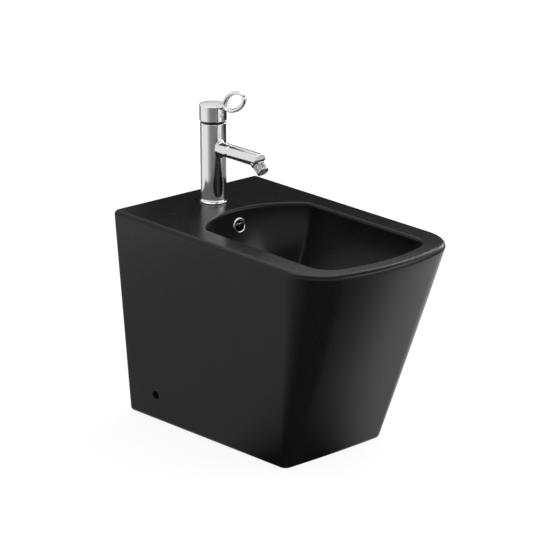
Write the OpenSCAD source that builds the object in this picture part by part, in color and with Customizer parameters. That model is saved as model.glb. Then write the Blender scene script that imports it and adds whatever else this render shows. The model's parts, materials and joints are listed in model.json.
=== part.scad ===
// Floor-standing, back-to-wall bidet with a one-hole mixer tap, in millimetres.
// The floor is z = 0, the wall is on the +Y side and the front is on the -Y side.

/* [Ceramic body] */
// Width of the rim
body_w = 344; // [335:1:370]
// Length from the wall to the front of the rim
body_l = 576; // [566:1:606]
// Height of the rim above the floor
body_h = 400; // [385:1:430]
// Width of the foot at its front
foot_w_front = 236; // [220:1:260]
// Width of the foot at the wall
foot_w_rear = 285; // [270:1:310]
// Distance from the wall to the front of the foot
foot_l = 415; // [395:1:440]
// Radius of the rim's front corners in plan
rim_corner_r = 87; // [70:1:100]
// Radius of the foot's front corners in plan
foot_corner_r = 15; // [15:1:25]
// Radius of the two rear corners in plan
rear_corner_r = 9; // [6:1:14]
// How far the front of the rim bows forward of its corners
rim_bow = 9.6; // [6:0.1:14]
// How far the front of the foot bows forward of its corners
foot_bow = 2; // [1:0.1:5]
// Rounding of the outer top edge
top_edge_r = 9; // [5:0.5:10]
// Rounding of the outer bottom edge
bottom_edge_r = 7.6; // [4:0.2:9]
// Thickness of the side and front walls
body_wall = 14; // [12:0.5:16]
// Thickness of the rear deck and of the rim
deck_t = 14; // [12:0.5:18]
// Width of the pipe opening in the rear wall
rear_opening_w = 180; // [140:1:200]
// Height of the pipe opening in the rear wall
rear_opening_h = 250; // [200:1:280]

/* [Basin] */
// Width of the basin's opening
basin_w = 256; // [240:1:262]
// Distance from the wall to the basin's rear edge
basin_back = 144; // [140:1:150]
// Distance from the rim's front to the basin's front edge
basin_front = 32; // [30:1:46]
// Radius of the basin's front corners in plan
basin_corner_r = 50; // [40:1:60]
// How far the basin's front edge bows forward
basin_bow = 9; // [5:0.5:12]
// Radius of the basin's rear arc in plan
basin_rear_r = 163; // [155:1:175]
// Radius of the blend between the rear arc and the sides
basin_blend_r = 30; // [20:1:40]
// Rounding of the basin's lip
lip_r = 6; // [4:0.5:8]
// Depth of the basin below the rim
basin_depth = 150; // [140:1:160]
// Slope of the basin's walls, as the share drawn in over the depth
basin_draft = 0.12; // [0.08:0.01:0.16]
// Thickness of the basin's shell
basin_wall = 12; // [10:0.5:14]

/* [Overflow] */
// Depth of the overflow hole's centre below the rim
overflow_drop = 31.4; // [28:0.2:36]
// Outer diameter of the overflow ring
overflow_ring_d = 30; // [27:0.5:32]
// Bore of the overflow ring
overflow_bore_d = 20; // [16:0.5:21]
// Diameter of the ring's sleeve
overflow_sleeve_d = 24; // [23:0.5:25]
// How far the ring stands out of the wall
overflow_ring_t = 2.4; // [2:0.1:3]
// Bore of the overflow channel in the ceramic
overflow_channel_d = 20; // [16:0.5:20]
// Bore of the passage under the basin
overflow_passage_d = 10; // [8:0.5:11]

/* [Side fixing holes] */
// Diameter of the side fixing holes
side_hole_d = 15; // [10:0.5:18]
// Height of the side fixing holes above the floor
side_hole_z = 52.7; // [45:0.1:70]
// Distance of the side fixing holes from the wall
side_hole_back = 80.5; // [70:0.5:100]
// Angle of the side holes above the horizontal, square to the leaning wall
side_hole_tilt = 4; // [0:0.5:5]
// Depth of the ceramic around a side fixing hole
side_hole_l = 17; // [16:0.5:22]

/* [Waste] */
// Distance of the drain from the wall
drain_back = 260; // [250:1:270]
// Diameter of the drain hole in the ceramic
drain_hole_d = 45.5; // [45:0.1:48]
// Diameter of the waste's flange
flange_d = 64; // [62:0.5:68]
// Thickness of the waste's flange
flange_t = 3; // [2:0.5:3.5]
// Outer diameter of the waste's thread, 1 1/4 inch pipe
waste_thread_d = 41.9; // [41.5:0.1:42.5]
// Bore of the waste
waste_bore_d = 36; // [34:0.5:37]
// Length of the waste below its flange
waste_l = 78; // [72:1:90]
// Thickness of the ceramic that the waste clamps
drain_pad_t = 18; // [16:0.5:20]
// Travel of the click plug
plug_travel = 7; // [5:0.5:8]
// Diameter of the plug's cap
plug_d = 60; // [56:0.5:61]

/* [Tap body] */
// Distance of the tap's axis from the wall
tap_back = 82; // [78:0.5:86]
// Diameter of the tap's body
tap_d = 47.4; // [46.5:0.1:50]
// Height of the tap's body above the deck
tap_h = 150; // [146:0.5:170]
// Diameter of the tap's foot
tap_foot_d = 54; // [53:0.5:58]
// Height of the foot's flare
tap_foot_h = 9; // [7:0.5:12]
// Rounding at the top of the body and the bottom of the cap
tap_edge_r = 1.2; // [0.8:0.1:1.4]
// Diameter of the tap hole in the deck
tap_hole_d = 35; // [34.5:0.1:36]
// Pitch of the two inlet ports
inlet_pitch = 18; // [17:0.5:18.5]
// Bore of the inlet ports, thread M10 x 1
inlet_d = 9; // [8.8:0.1:9.2]
// Diameter of the fixing stud
stud_d = 8; // [6:0.5:8]

/* [Spout] */
// Height of the spout's axis above the deck
spout_z = 104.4; // [103:0.1:106]
// Diameter of the spout
spout_d = 25.5; // [25.2:0.1:27]
// Reach of the spout's front face from the tap's axis
spout_reach = 131.5; // [128:0.5:150]
// Distance of the spout's seam from the tap's axis
spout_seam = 53; // [48:0.5:58]
// Angle of the aerator below the horizontal
aerator_tilt = 40; // [38:1:42]
// Distance from the spout's front face back to the aerator's axis, on the spout's axis
aerator_back = 16.2; // [15.8:0.1:17]
// Diameter of the aerator housing
aerator_d = 22; // [20.5:0.1:22.5]
// Distance along the aerator's axis to its outlet
aerator_end = 31.2; // [29.5:0.1:34]
// Diameter of the swivel ball
ball_d = 16; // [15.8:0.1:16.2]

/* [Handle] */
// Gap between the tap's body and the handle cap
handle_gap = 4.5; // [4.4:0.1:6]
// Diameter of the handle cap
cap_d = 49.8; // [49.5:0.1:50.5]
// Height of the handle cap
cap_h = 29.2; // [27:0.1:33]
// Depth of the lever's pivot below the top of the tap's body
pivot_drop = 15; // [14.5:0.1:15.5]
// Greatest lift of the handle in degrees
lift_max = 15; // [10:1:15]
// Half of the loop's centreline length
loop_a = 29; // [26:0.5:34]
// Half of the loop's centreline height
loop_b = 14.9; // [13:0.1:17]
// Thickness of the loop's rod
loop_rod_d = 7.7; // [6.5:0.1:8.5]
// Extra width of the rod where it meets the cap
loop_root_extra = 5; // [3:0.5:7]
// Rise of the loop towards its tip in degrees
loop_rise = 27.3; // [24:0.1:30]
// Distance of the loop's centre from the tap's axis
loop_reach = 61.3; // [58:0.1:66]
// Height of the loop's centre above the top of the cap
loop_up = 16; // [14:0.1:19]

/* [Clearances] */
// Radial clearance of a turning fit
running_gap = 0.1; // [0.05:0.01:0.1]
// Radial clearance of a hinge pin
pin_gap = 0.05; // [0.02:0.01:0.08]
// Gap between pieces that move past each other
free_gap = 0.3; // [0.3:0.05:0.5]
// Clearance of a fixed piece in its hole
seat_gap = 0.1; // [0.05:0.01:0.15]

/* [Hidden] */
$fn = 64;
// How far a cutting tool runs past the face it opens
over = 1;
// Length of a cutting tool that leaves the part on its far side
cut_l = 40;

// Body, in plan: the front face bows, and each front corner is an arc that meets the bow smoothly
rear_y = body_l / 2;
front_y = -body_l / 2;
foot_front_y = rear_y - foot_l;
arc_steps = 7;
corner_steps = 8;
side_steps = 5;
wall_levels = 7;
least_r = 0.4;
side_boss_w = 10;
side_boss_d = side_hole_d + 2 * side_boss_w;
side_hole_lead = 10;

// Basin
basin_front_y = front_y + basin_front;
basin_rear_y = rear_y - basin_back;
drain_y = rear_y - drain_back;
basin_floor_z = body_h - basin_depth;
wall_top_z = body_h - lip_r;
wall_steps = 10;
// The last ring of the basin's floor lies inside the drain's recess
last_angle = 84;

// Overflow: the hole is square to the sloping rear wall
overflow_z = body_h - overflow_drop;
overflow_share = (wall_top_z - overflow_z) / (basin_depth - lip_r);
overflow_turn = asin(overflow_share);
overflow_scale = (1 - basin_draft * overflow_share) * cos(overflow_turn);
overflow_y = drain_y + (basin_rear_y - lip_r - drain_y) * overflow_scale;
overflow_slope = atan(
    (basin_rear_y - lip_r - drain_y) / (basin_depth - lip_r) *
    (basin_draft * pow(cos(overflow_turn), 2) + (1 - basin_draft * overflow_share) * overflow_share) /
    cos(overflow_turn));
channel_behind = 26;
channel_y = overflow_y + channel_behind;
channel_wall = 6;
channel_above = 8;
overflow_hole_back = 28;
overflow_hole_front = 12;
overflow_sleeve_l = 15;
overflow_edge = 0.6;
overflow_face_w = 1.4;
overflow_lead = 1;
overflow_notch_w = 2;
overflow_notch_h = 7;
overflow_bar_w = 2.4;
overflow_bar_up = 2;
overflow_bar_h = 3.6;
overflow_bar_in = 0.4;
overflow_bar_root = 1;
overflow_seat_gap = 0.5;

// Waste, from the basin's floor downwards
recess_gap = 1;
recess_d = flange_d + 2 * recess_gap;
recess_h = 12;
recess_depth = 4;
drain_pad_w = 13;
drain_pad_d = recess_d + 2 * drain_pad_w;
recess_z = basin_floor_z - recess_depth;
pad_z = recess_z - drain_pad_t;
upper_seal_t = 1.5;
upper_seal_gap = 0.5;
flange_z = recess_z + upper_seal_t;
flange_top_z = flange_z + flange_t;
waste_end_z = flange_z - waste_l;
lower_seal_t = 8;
lower_seal_taper = 6;
waste_washer_t = 2;
waste_nut_t = 9;
waste_nut_af = 56;
waste_seal_d = 62;
relief_w = 2;
relief_depth = 0.8;
relief_z = pad_z - lower_seal_t - waste_washer_t - waste_nut_t - 2 * relief_w;
// The turned body's seam lies between the overflow windows and the bridge's arms
waste_seam_turn = 22;
flange_edge = 1.2;
flange_face_in = 2;
waste_lead = 3;
waste_window_d = overflow_passage_d - 2;
bridge_t = 5;
bridge_z = pad_z;
bridge_arm_w = 3;
bridge_root = 0.5;
bridge_step = 0.5;
barrel_floor = 3;
bridge_boss_d = 13;
barrel_d = 12;
barrel_stud_d = 6;
barrel_h = 15;
click_stem_d = 7;
click_stem_thread_d = 5;
barrel_z = bridge_z + bridge_t;
stem_bottom_z = barrel_z + barrel_floor + plug_travel + free_gap;
plug_seal_t = 1.5;
plug_seal_z = flange_top_z + plug_travel + free_gap;
plug_z = plug_seal_z + plug_seal_t;
plug_t = 3;
plug_dome = 2.5;
plug_edge_h = 1.5;
plug_foot_in = 0.8;
plug_steps = 8;
plug_seal_in = 4;
plug_seal_w = 6;
passage_z = pad_z + drain_pad_t / 2;

// Tap
tap_y = rear_y - tap_back;
tap_r = tap_d / 2;
tap_top_z = body_h + tap_h;
foot_edge_h = 2.2;
foot_chamfer = 0.8;
web_t = 12;
tap_tube_bore_d = 39;
seat_z = tap_top_z - 31;
ports_z = seat_z - 35;
port_y = 6;
outlet_y = -9;
outlet_d = 8;
hose_hole_d = 14;
stud_y = -11;
base_groove_in = 22;
base_groove_out = 24.5;
base_groove_t = 1.8;
cartridge_thread_l = 8;
stud_in = 10;
stud_l = 62;
horseshoe_r = 26;
horseshoe_slot_w = 33;
horseshoe_slot_y = -4;
gasket_t = 3;
washer_t = 2.5;
fixing_nut_af = 13;
fixing_nut_t = 14;

// Spout
spout_axis_z = body_h + spout_z;
spigot_d = 20;
spigot_l = 10;
spigot_root = 2;
spigot_end_gap = 0.5;
spout_bore_from = 5;
seam_edge = 0.3;
spout_nose = 1.5;
spout_nose_flat = 0.5;
spout_bore_d = 12;
oring_t = 2;
oring_d = 15.6;
oring_at = 3;
aerator_y = -spout_reach + aerator_back;
collar_d = 24.4;
collar_end = 11;
ball_at = 4;
ball_r = ball_d / 2;
slip_t = 0.8;
slip_h = 4.6;
slip_r = ball_r + running_gap + slip_t;
socket_r = slip_r + running_gap + 2 * seat_gap;
socket_back = ball_at - ball_r - free_gap;
retainer_at = 8;
retainer_r = 11;
// Room round the ball's neck for its swing
retainer_swing = 1.8;
ball_neck_d = 11;
ball_bore_d = 7.6;
housing_gap = 2.6;
housing_at = collar_end + housing_gap;
housing_top_t = 3;
housing_bore_d = 18.4;
housing_edge = 1;
aerator_seal_t = 1.6;
aerator_seal_w = 1;
insert_in = 0.8;
insert_bore_d = 11;
sieve_t = 3;
sieve_rings = [3, 6];
sieve_hole_d = 1.4;
knurl_count = 28;
knurl_depth = 0.5;
knurl_w = 0.8;
knurl_from = 4;
knurl_to = 3;

// Cartridge, from its seat upwards
cartridge_d = 34.8;
cartridge_bore_d = 35.2;
cartridge_thread_d = 38;
cartridge_seal_t = 1;
cartridge_seal_in = 0.5;
seal_port_d = 7;
base_port_d = 6;
cartridge_base_t = 5;
fixed_disc_t = 3;
moving_disc_t = 3;
disc_gap = 0.05;
fixed_disc_d = 26;
moving_disc_d = 21;
disc_room_d = 26.2;
disc_port_x = 6.5;
disc_port_y = 4;
disc_port_d = 4;
disc_outlet_y = -6.5;
disc_outlet_d = 5;
disc_channel_d = 4;
disc_channel_h = 1;
tip_pocket_floor = 0.85;
turret_d = 23;
turret_flange_d = 25.6;
turret_flange_t = 2;
turret_up = 1;
turret_play = 0.35;
pin_in = 1;
cartridge_nut_t = 4.5;
cartridge_h = 27;
base_z = seat_z + cartridge_seal_t;
fixed_z = base_z + cartridge_base_t;
moving_z = fixed_z + fixed_disc_t + disc_gap;
turret_z = moving_z + moving_disc_t + turret_play;
housing_top_z = seat_z + cartridge_h;
turret_top_z = tap_top_z + turret_up;
nut_top_z = housing_top_z + cartridge_nut_t;
pivot_z = tap_top_z - pivot_drop;
pivot_pin_d = 3;
stem_w = 8;
stem_l = 9;
stem_low = 2.4;
stem_tip = 5.4;
stem_tip_d = 4;
tip_pocket_d = 5.4;
// The turret's slot lets the stem swing by the lift
slot_front = stem_l / 2 + stem_low * sin(lift_max) + 3 * free_gap;
slot_rear = stem_l / 2 + (turret_top_z - pivot_z) * sin(lift_max) + 2 * free_gap;
neck_in = 0.8;
neck_ring_d = tap_d - 2 * neck_in;
// The dome starts this far above the body's top
neck_dome_up = 2;
neck_sphere_r = norm([neck_ring_d / 2, pivot_drop + neck_dome_up]);
neck_ring_t = 6.8;
neck_bore_d = 35;
neck_seat_d = cartridge_thread_d + 2 * free_gap;
neck_seat_t = nut_top_z - tap_top_z + free_gap;
nut_bore_gap = 0.7;
nut_notch_at = 16.9;
nut_notch_w = 3;
nut_notch_h = 2;

// Handle
cap_z = tap_top_z + handle_gap;
cap_top_z = cap_z + cap_h;
cap_r = cap_d / 2;
cap_hollow_d = neck_ring_d + 2 * free_gap;
cap_hollow_h = 9;
cap_chamfer = 0.8;
stem_socket_h = 8.5;
stem_top_gap = 1;
stem_top_z = cap_z + cap_hollow_h + stem_socket_h - stem_top_gap;
grub_up = 3.2;
grub_z = cap_z + cap_hollow_h + grub_up;
grub_d = 5;
grub_l = 12;
grub_key_af = 2.5;
grub_key_depth = 3;
cover_d = 7;
cover_l = 5;
cover_out = 1.8;
cover_edge = 0.8;
loop_steps = 40;
root_r = 5;
root_wide = 1.15;
root_in = 1;
root_foot_r = 6.5;
root_foot_wide = 1.2;
root_foot_flat = 0.9;
root_foot_in = 4;
root_foot_down = 1.5;
loop_sides = 14;

// Points along an arc about c, from angle a0 to a1
function arc(c, r, a0, a1, n) = [for (i = [0:n]) let (a = a0 + (a1 - a0) * i / n) c + r * [cos(a), sin(a)]];

// Value between a and b
function mix(a, b, t) = a + (b - a) * t;

// The half outline on the +X side, from the front's middle to the rear's middle, closed by its mirror image
function whole(half) = concat(half, [for (i = [len(half) - 2:-1:1]) [-half[i].x, half[i].y]]);

// Radius of a bow that stands out by s over the half width x
function bow_r(x, s) = (x * x + s * s) / (2 * s);

// Height of the front corner's centre, for a corner arc that meets the bow without a kink
function corner_y(x, front, bow, r) =
    let (b = bow_r(x, bow)) front + b - sqrt((b - r) * (b - r) - x * x);

// The front's bow and its corner arc, drawn in by an inset, up to the angle where the side starts
function front_half(x, front, bow, r, inset, side_angle) =
    let (b = bow_r(x, bow), cy = corner_y(x, front, bow, r), a = asin(x / (b - r)))
    concat(
        arc([0, front + b], b - inset, -90, -90 + a, arc_steps),
        [for (i = [1:corner_steps]) let (t = mix(-90 + a, -side_angle, i / corner_steps))
            [x, cy] + max(r - inset, least_r) * [cos(t), sin(t)]]);

// Outline of the body at height z, drawn in by an inset
function body_half(z, inset) =
    let (
        t = min(z / (body_h - top_edge_r), 1),
        wf = mix(foot_w_front, body_w, t) / 2,
        wr = mix(foot_w_rear, body_w, t) / 2,
        fy = mix(foot_front_y, front_y, t),
        r = mix(foot_corner_r, rim_corner_r, t),
        bow = mix(foot_bow, rim_bow, t),
        a = atan((wr - wf) / (rear_y - fy)),
        rr = max(rear_corner_r - inset, least_r),
        front = front_half(wf - r, fy, bow, r, inset, a),
        rear = arc([wr - inset - rr, rear_y - inset - rr], rr, -a, 90, 4),
        front_end = front[len(front) - 1])
    concat(
        front,
        [for (i = [1:side_steps - 1]) mix(front_end, rear[0], i / side_steps)],
        rear,
        [[0, rear_y - inset]]);

// The same outline as a ring of points at height z, or at another height
function body_ring(z, inset, at) = [for (p = whole(body_half(z, inset))) [p.x, p.y, at == undef ? z : at]];

// Rings of the body's outside, with rounded bottom and top edges
body_rings = concat(
    [for (a = [0:30:90]) body_ring(bottom_edge_r * (1 - cos(a)), bottom_edge_r * (1 - sin(a)))],
    [for (i = [1:wall_levels - 1]) body_ring(mix(bottom_edge_r, body_h - top_edge_r, i / wall_levels), 0)],
    [for (a = [0:22.5:90]) body_ring(body_h - top_edge_r * (1 - sin(a)), top_edge_r * (1 - cos(a)))]);

// Outline of the basin's opening, moved outwards by grow
function basin_half(grow) =
    let (
        x = basin_w / 2 - basin_corner_r,
        rear_c = basin_rear_y - basin_rear_r,
        bx = basin_w / 2 - basin_blend_r,
        by = sqrt(pow(basin_rear_r - basin_blend_r, 2) - bx * bx),
        turn = atan2(by, bx))
    concat(
        front_half(x, basin_front_y, basin_bow, basin_corner_r, -grow, 0),
        arc([bx, rear_c + by], basin_blend_r + grow, 0, turn, 4),
        [for (i = [1:arc_steps + 2]) let (t = mix(turn, 90, i / (arc_steps + 2)))
            [0, rear_c] + (basin_rear_r + grow) * [cos(t), sin(t)]]);

// A ring of the basin's wall: the opening drawn in towards the drain as it goes down
function basin_ring(grow, deeper, angle) =
    let (
        share = sin(angle),
        k = (1 - basin_draft * share) * cos(angle),
        c = [0, drain_y],
        z = wall_top_z - (basin_depth - lip_r + deeper) * share)
    [for (p = whole(basin_half(grow - lip_r))) let (q = c + (p - c) * k) [q.x, q.y, z]];

// Rings of the basin's hollow, from the floor up to the rounded lip and past the rim
hollow_rings = concat(
    [for (i = [wall_steps:-1:0]) basin_ring(0, 0, last_angle * i / wall_steps)],
    [for (a = [67.5:-22.5:0]) [for (p = whole(basin_half(-lip_r * sin(a))))
        [p.x, p.y, wall_top_z + lip_r * cos(a)]]],
    [[for (p = whole(basin_half(0))) [p.x, p.y, body_h + over]]]);

// Rings of the basin's shell, inside the pedestal
shell_rings = concat(
    [for (i = [wall_steps:-1:0]) basin_ring(basin_wall, basin_wall, last_angle * i / wall_steps)],
    [[for (p = whole(basin_half(basin_wall - lip_r))) [p.x, p.y, body_h]]]);

// Rings of the pedestal's hollow
room_rings = concat(
    [body_ring(0, body_wall, -over)],
    [for (i = [0:wall_levels]) body_ring((body_h - deck_t) * i / wall_levels, body_wall)]);

// Solid through rings of equal length, each counter-clockwise from above, from the lowest up.
// The triangles of the -X half mirror those of the +X half.
module loft(rings) {
    n = len(rings[0]);
    m = len(rings);
    sides = [for (k = [0:m - 2]) for (i = [0:n - 1]) let (j = (i + 1) % n, a = k * n, b = (k + 1) * n)
        each (i < n / 2
            ? [[a + i, b + i, b + j], [a + i, b + j, a + j]]
            : [[a + i, b + i, a + j], [b + i, b + j, a + j]])];
    bottom = [for (i = [1:n - 2]) [0, i, i + 1]];
    top = [for (i = [1:n - 2]) [(m - 1) * n, (m - 1) * n + i + 1, (m - 1) * n + i]];
    polyhedron(points = [for (r = rings) each r], faces = concat(sides, bottom, top));
}

// Hexagonal prism by its width across flats
module hex(af, h) cylinder(d = af / cos(30), h = h, $fn = 6);

// Ring with a square section
module ring(d_out, d_in, h) difference() {
    cylinder(d = d_out, h = h);
    translate([0, 0, -over]) cylinder(d = d_in, h = h + 2 * over);
}

// Places its children with +Z along the overflow hole, out of the wall into the basin
module at_overflow() translate([0, overflow_y, overflow_z]) rotate([90 - overflow_slope, 0, 0]) children();

// Places its children on the drain's axis at height z
module at_drain(z) translate([0, drain_y, z]) children();

// Places its children on the tap's axis at height z
module at_tap(z) translate([0, tap_y, z]) children();

// Places its children on the spout's axis with +Z towards the front, from the tap's axis
module at_spout(d) at_tap(spout_axis_z) rotate([90, 0, 0]) translate([0, 0, d]) children();

// Places its children with +Z along the aerator's axis, d beyond the spout's axis
module at_aerator(d) at_tap(spout_axis_z) translate([0, aerator_y, 0])
    rotate([90 + aerator_tilt, 0, 0]) translate([0, 0, d]) children();

// Channel that leads the overflow down behind the basin and under it to the drain
module channel_block() {
    w = overflow_channel_d + 2 * channel_wall;
    back = channel_y + w / 2;
    translate([-w / 2, overflow_y, pad_z]) cube([w, back - overflow_y, body_h - deck_t - pad_z + over]);
    translate([-w / 2, drain_y, pad_z])
        cube([w, back - drain_y, passage_z - pad_z + overflow_passage_d / 2 + channel_wall]);
}

module side_hole_place() for (s = [-1, 1]) {
    wall_x = mix(mix(foot_w_rear, foot_w_front, side_hole_back / foot_l), body_w,
        side_hole_z / (body_h - top_edge_r)) / 2;
    translate([s * wall_x, rear_y - side_hole_back, side_hole_z])
        rotate([0, -s * (90 - side_hole_tilt), 0]) children();
}

module ceramic_body() color("#26262a") difference() {
    loft(body_rings);
    difference() {
        loft(room_rings);
        loft(shell_rings);
        channel_block();
        at_drain(pad_z) cylinder(d = drain_pad_d, h = body_h - deck_t - pad_z);
        side_hole_place() cylinder(d = side_boss_d, h = side_hole_l);
    }
    loft(hollow_rings);
    at_drain(recess_z) cylinder(d = recess_d, h = recess_h);
    at_drain(pad_z - over) cylinder(d = drain_hole_d, h = drain_pad_t + 2 * over);
    at_tap(body_h - deck_t - over) cylinder(d = tap_hole_d, h = deck_t + 2 * over);
    at_overflow() translate([0, 0, -overflow_hole_back])
        cylinder(d = overflow_sleeve_d + 2 * seat_gap, h = overflow_hole_back + overflow_hole_front);
    at_overflow() cylinder(d = overflow_ring_d + 2 * overflow_seat_gap, h = overflow_hole_front);
    translate([0, channel_y, passage_z])
        cylinder(d = overflow_channel_d, h = overflow_z + channel_above - passage_z);
    translate([0, channel_y, passage_z]) rotate([90, 0, 0])
        cylinder(d = overflow_passage_d, h = channel_y - drain_y);
    side_hole_place() translate([0, 0, -side_hole_lead])
        cylinder(d = side_hole_d, h = side_hole_l + side_hole_lead + over);
    translate([-rear_opening_w / 2, rear_y - 2 * body_wall, -over])
        cube([rear_opening_w, 3 * body_wall, rear_opening_h + over]);
}

module overflow_ring() color("#d0d3d6") at_overflow() {
    r = overflow_bore_d / 2;
    difference() {
        rotate([0, 0, -90]) rotate_extrude() polygon([
            [r, -overflow_sleeve_l],
            [overflow_sleeve_d / 2, -overflow_sleeve_l],
            [overflow_sleeve_d / 2, 0],
            [overflow_ring_d / 2, 0],
            [overflow_ring_d / 2, overflow_ring_t - overflow_edge],
            [overflow_ring_d / 2 - overflow_face_w, overflow_ring_t],
            [r + overflow_lead, overflow_ring_t],
            [r, overflow_ring_t - overflow_lead]]);
        for (s = [-1, 1])
            translate([
                s * overflow_sleeve_d / 2 - 2 * over,
                -overflow_notch_w / 2,
                -overflow_sleeve_l - over])
                cube([4 * over, overflow_notch_w, overflow_notch_h + over]);
    }
    translate([-r - overflow_bar_root, overflow_bar_up, -overflow_bar_h - overflow_bar_in])
        cube([2 * (r + overflow_bar_root), overflow_bar_w, overflow_bar_h]);
}

module waste_upper_seal() color("#1a1a1a") at_drain(recess_z)
    ring(waste_seal_d, waste_thread_d + 2 * upper_seal_gap, upper_seal_t);

module waste_body() color("#d0d3d6") at_drain(0) {
    arm_l = waste_bore_d / 2 + bridge_root;
    difference() {
        rotate([0, 0, waste_seam_turn]) rotate_extrude() polygon([
            [waste_bore_d / 2, waste_end_z],
            [waste_thread_d / 2, waste_end_z],
            [waste_thread_d / 2, relief_z],
            [waste_thread_d / 2 - relief_depth, relief_z],
            [waste_thread_d / 2 - relief_depth, relief_z + relief_w],
            [waste_thread_d / 2, relief_z + relief_w],
            [waste_thread_d / 2, flange_z],
            [flange_d / 2, flange_z],
            [flange_d / 2, flange_top_z - flange_edge],
            [flange_d / 2 - flange_face_in, flange_top_z],
            [waste_bore_d / 2 + waste_lead, flange_top_z],
            [waste_bore_d / 2, flange_top_z - waste_lead]]);
        for (a = [0, 90]) translate([0, 0, passage_z]) rotate([90, 0, a])
            cylinder(d = waste_window_d, h = flange_d, center = true);
    }
    translate([0, 0, bridge_z]) difference() {
        union() {
            cylinder(d = bridge_boss_d, h = bridge_t);
            translate([0, 0, bridge_step]) rotate([0, 0, 45])
                linear_extrude(height = bridge_t - 2 * bridge_step)
                polygon([for (i = [0:3]) each [for (p = [
                    [arm_l, -bridge_arm_w / 2],
                    [arm_l, bridge_arm_w / 2],
                    [bridge_arm_w / 2, bridge_arm_w / 2]])
                    [p.x * cos(90 * i) - p.y * sin(90 * i), p.x * sin(90 * i) + p.y * cos(90 * i)]]]);
        }
        translate([0, 0, -over]) cylinder(d = barrel_stud_d, h = bridge_t + 2 * over);
    }
}

module waste_lower_seal() color("#1a1a1a") at_drain(pad_z - lower_seal_t)
    difference() {
        cylinder(d1 = waste_seal_d, d2 = waste_seal_d - lower_seal_taper, h = lower_seal_t);
        translate([0, 0, -over]) cylinder(d = waste_thread_d + 2 * seat_gap, h = lower_seal_t + 2 * over);
    }

module waste_washer() color("#e8e8e4") at_drain(pad_z - lower_seal_t - waste_washer_t)
    ring(waste_seal_d, waste_thread_d + 2 * seat_gap, waste_washer_t);

module waste_nut() color("#c9a557") at_drain(pad_z - lower_seal_t - waste_washer_t - waste_nut_t)
    difference() {
        hex(waste_nut_af, waste_nut_t);
        translate([0, 0, -over]) cylinder(d = waste_thread_d + 2 * seat_gap, h = waste_nut_t + 2 * over);
    }

module click_barrel() color("#c9a557") at_drain(barrel_z) {
    difference() {
        cylinder(d = barrel_d, h = barrel_h);
        translate([0, 0, barrel_floor]) cylinder(d = click_stem_d + 2 * free_gap, h = barrel_h);
    }
    translate([0, 0, -bridge_t - barrel_floor]) cylinder(d = barrel_stud_d, h = bridge_t + barrel_floor);
}

module click_stem() color("#e8e8e4") at_drain(stem_bottom_z) {
    cylinder(d = click_stem_d, h = plug_z - stem_bottom_z);
    cylinder(d = click_stem_thread_d, h = plug_z - stem_bottom_z + plug_t);
}

module waste_plug() color("#d0d3d6") at_drain(plug_z) difference() {
    rotate_extrude() polygon(concat(
        [[0, 0], [plug_d / 2 - plug_foot_in, 0]],
        [for (i = [0:plug_steps]) let (u = 1 - i / plug_steps)
            [plug_d / 2 * u, plug_edge_h + (plug_t + plug_dome - plug_edge_h) * sqrt(1 - u * u)]]));
    translate([0, 0, -over]) cylinder(d = click_stem_thread_d, h = plug_t + over);
}

module waste_plug_seal() color("#1a1a1a") at_drain(plug_seal_z)
    ring(plug_d - 2 * plug_seal_in, plug_d - 2 * (plug_seal_in + plug_seal_w), plug_seal_t);

module tap_body() color("#d0d3d6") difference() {
    union() {
        at_tap(body_h) rotate_extrude() polygon(concat(
            [[0, 0], [tap_foot_d / 2 - foot_chamfer, 0], [tap_foot_d / 2, foot_chamfer]],
            [for (a = [0:15:90]) [
                tap_foot_d / 2 - (tap_foot_d / 2 - tap_r) * sin(a),
                tap_foot_h - (tap_foot_h - foot_edge_h) * cos(a)]],
            [for (a = [0:15:90]) [tap_r - tap_edge_r * (1 - cos(a)), tap_h - tap_edge_r * (1 - sin(a))]],
            [[0, tap_h]]));
        at_spout(0) cylinder(d = spout_d, h = spout_seam);
    }
    at_tap(body_h + web_t) cylinder(d = tap_tube_bore_d, h = ports_z - body_h - web_t);
    at_tap(seat_z) cylinder(d = cartridge_bore_d, h = tap_h);
    at_tap(housing_top_z - cartridge_thread_l) cylinder(d = cartridge_thread_d, h = tap_h);
    for (s = [-1, 1]) {
        at_tap(ports_z - over) translate([s * inlet_pitch / 2, port_y, 0])
            cylinder(d = inlet_d, h = seat_z - ports_z + 2 * over);
        at_tap(body_h - over) translate([s * inlet_pitch / 2, port_y, 0])
            cylinder(d = hose_hole_d, h = web_t + 2 * over);
    }
    at_tap(body_h - over) translate([0, stud_y, 0]) cylinder(d = stud_d, h = web_t + 2 * over);
    at_tap(spout_axis_z) translate([0, outlet_y, 0]) cylinder(d = outlet_d, h = seat_z - spout_axis_z + over);
    at_spout(spout_bore_from) cylinder(d = spout_bore_d, h = spout_seam);
    at_spout(spout_seam - spigot_l - spigot_end_gap)
        cylinder(d = spigot_d + 2 * seat_gap, h = spigot_l + spigot_end_gap + over);
    at_tap(body_h - over) difference() {
        cylinder(r = base_groove_out, h = base_groove_t + over);
        translate([0, 0, -over]) cylinder(r = base_groove_in, h = base_groove_t + 4 * over);
    }
}

module tap_base_seal() color("#1a1a1a") at_tap(body_h)
    ring(2 * (base_groove_out - seat_gap), 2 * (base_groove_in + seat_gap), base_groove_t);

module fixing_stud() color("#b8babd") at_tap(body_h + stud_in - stud_l) translate([0, stud_y, 0])
    cylinder(d = stud_d, h = stud_l);

// Horseshoe plate that clamps the tap from below, open to the rear for the hoses
module horseshoe(t) difference() {
    cylinder(r = horseshoe_r, h = t);
    translate([-horseshoe_slot_w / 2, horseshoe_slot_y, -over])
        cube([horseshoe_slot_w, 2 * horseshoe_r, t + 2 * over]);
    translate([0, stud_y, -over]) cylinder(d = stud_d + 2 * seat_gap, h = t + 2 * over);
}

module fixing_gasket() color("#1a1a1a") at_tap(body_h - deck_t - gasket_t) horseshoe(gasket_t);

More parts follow.
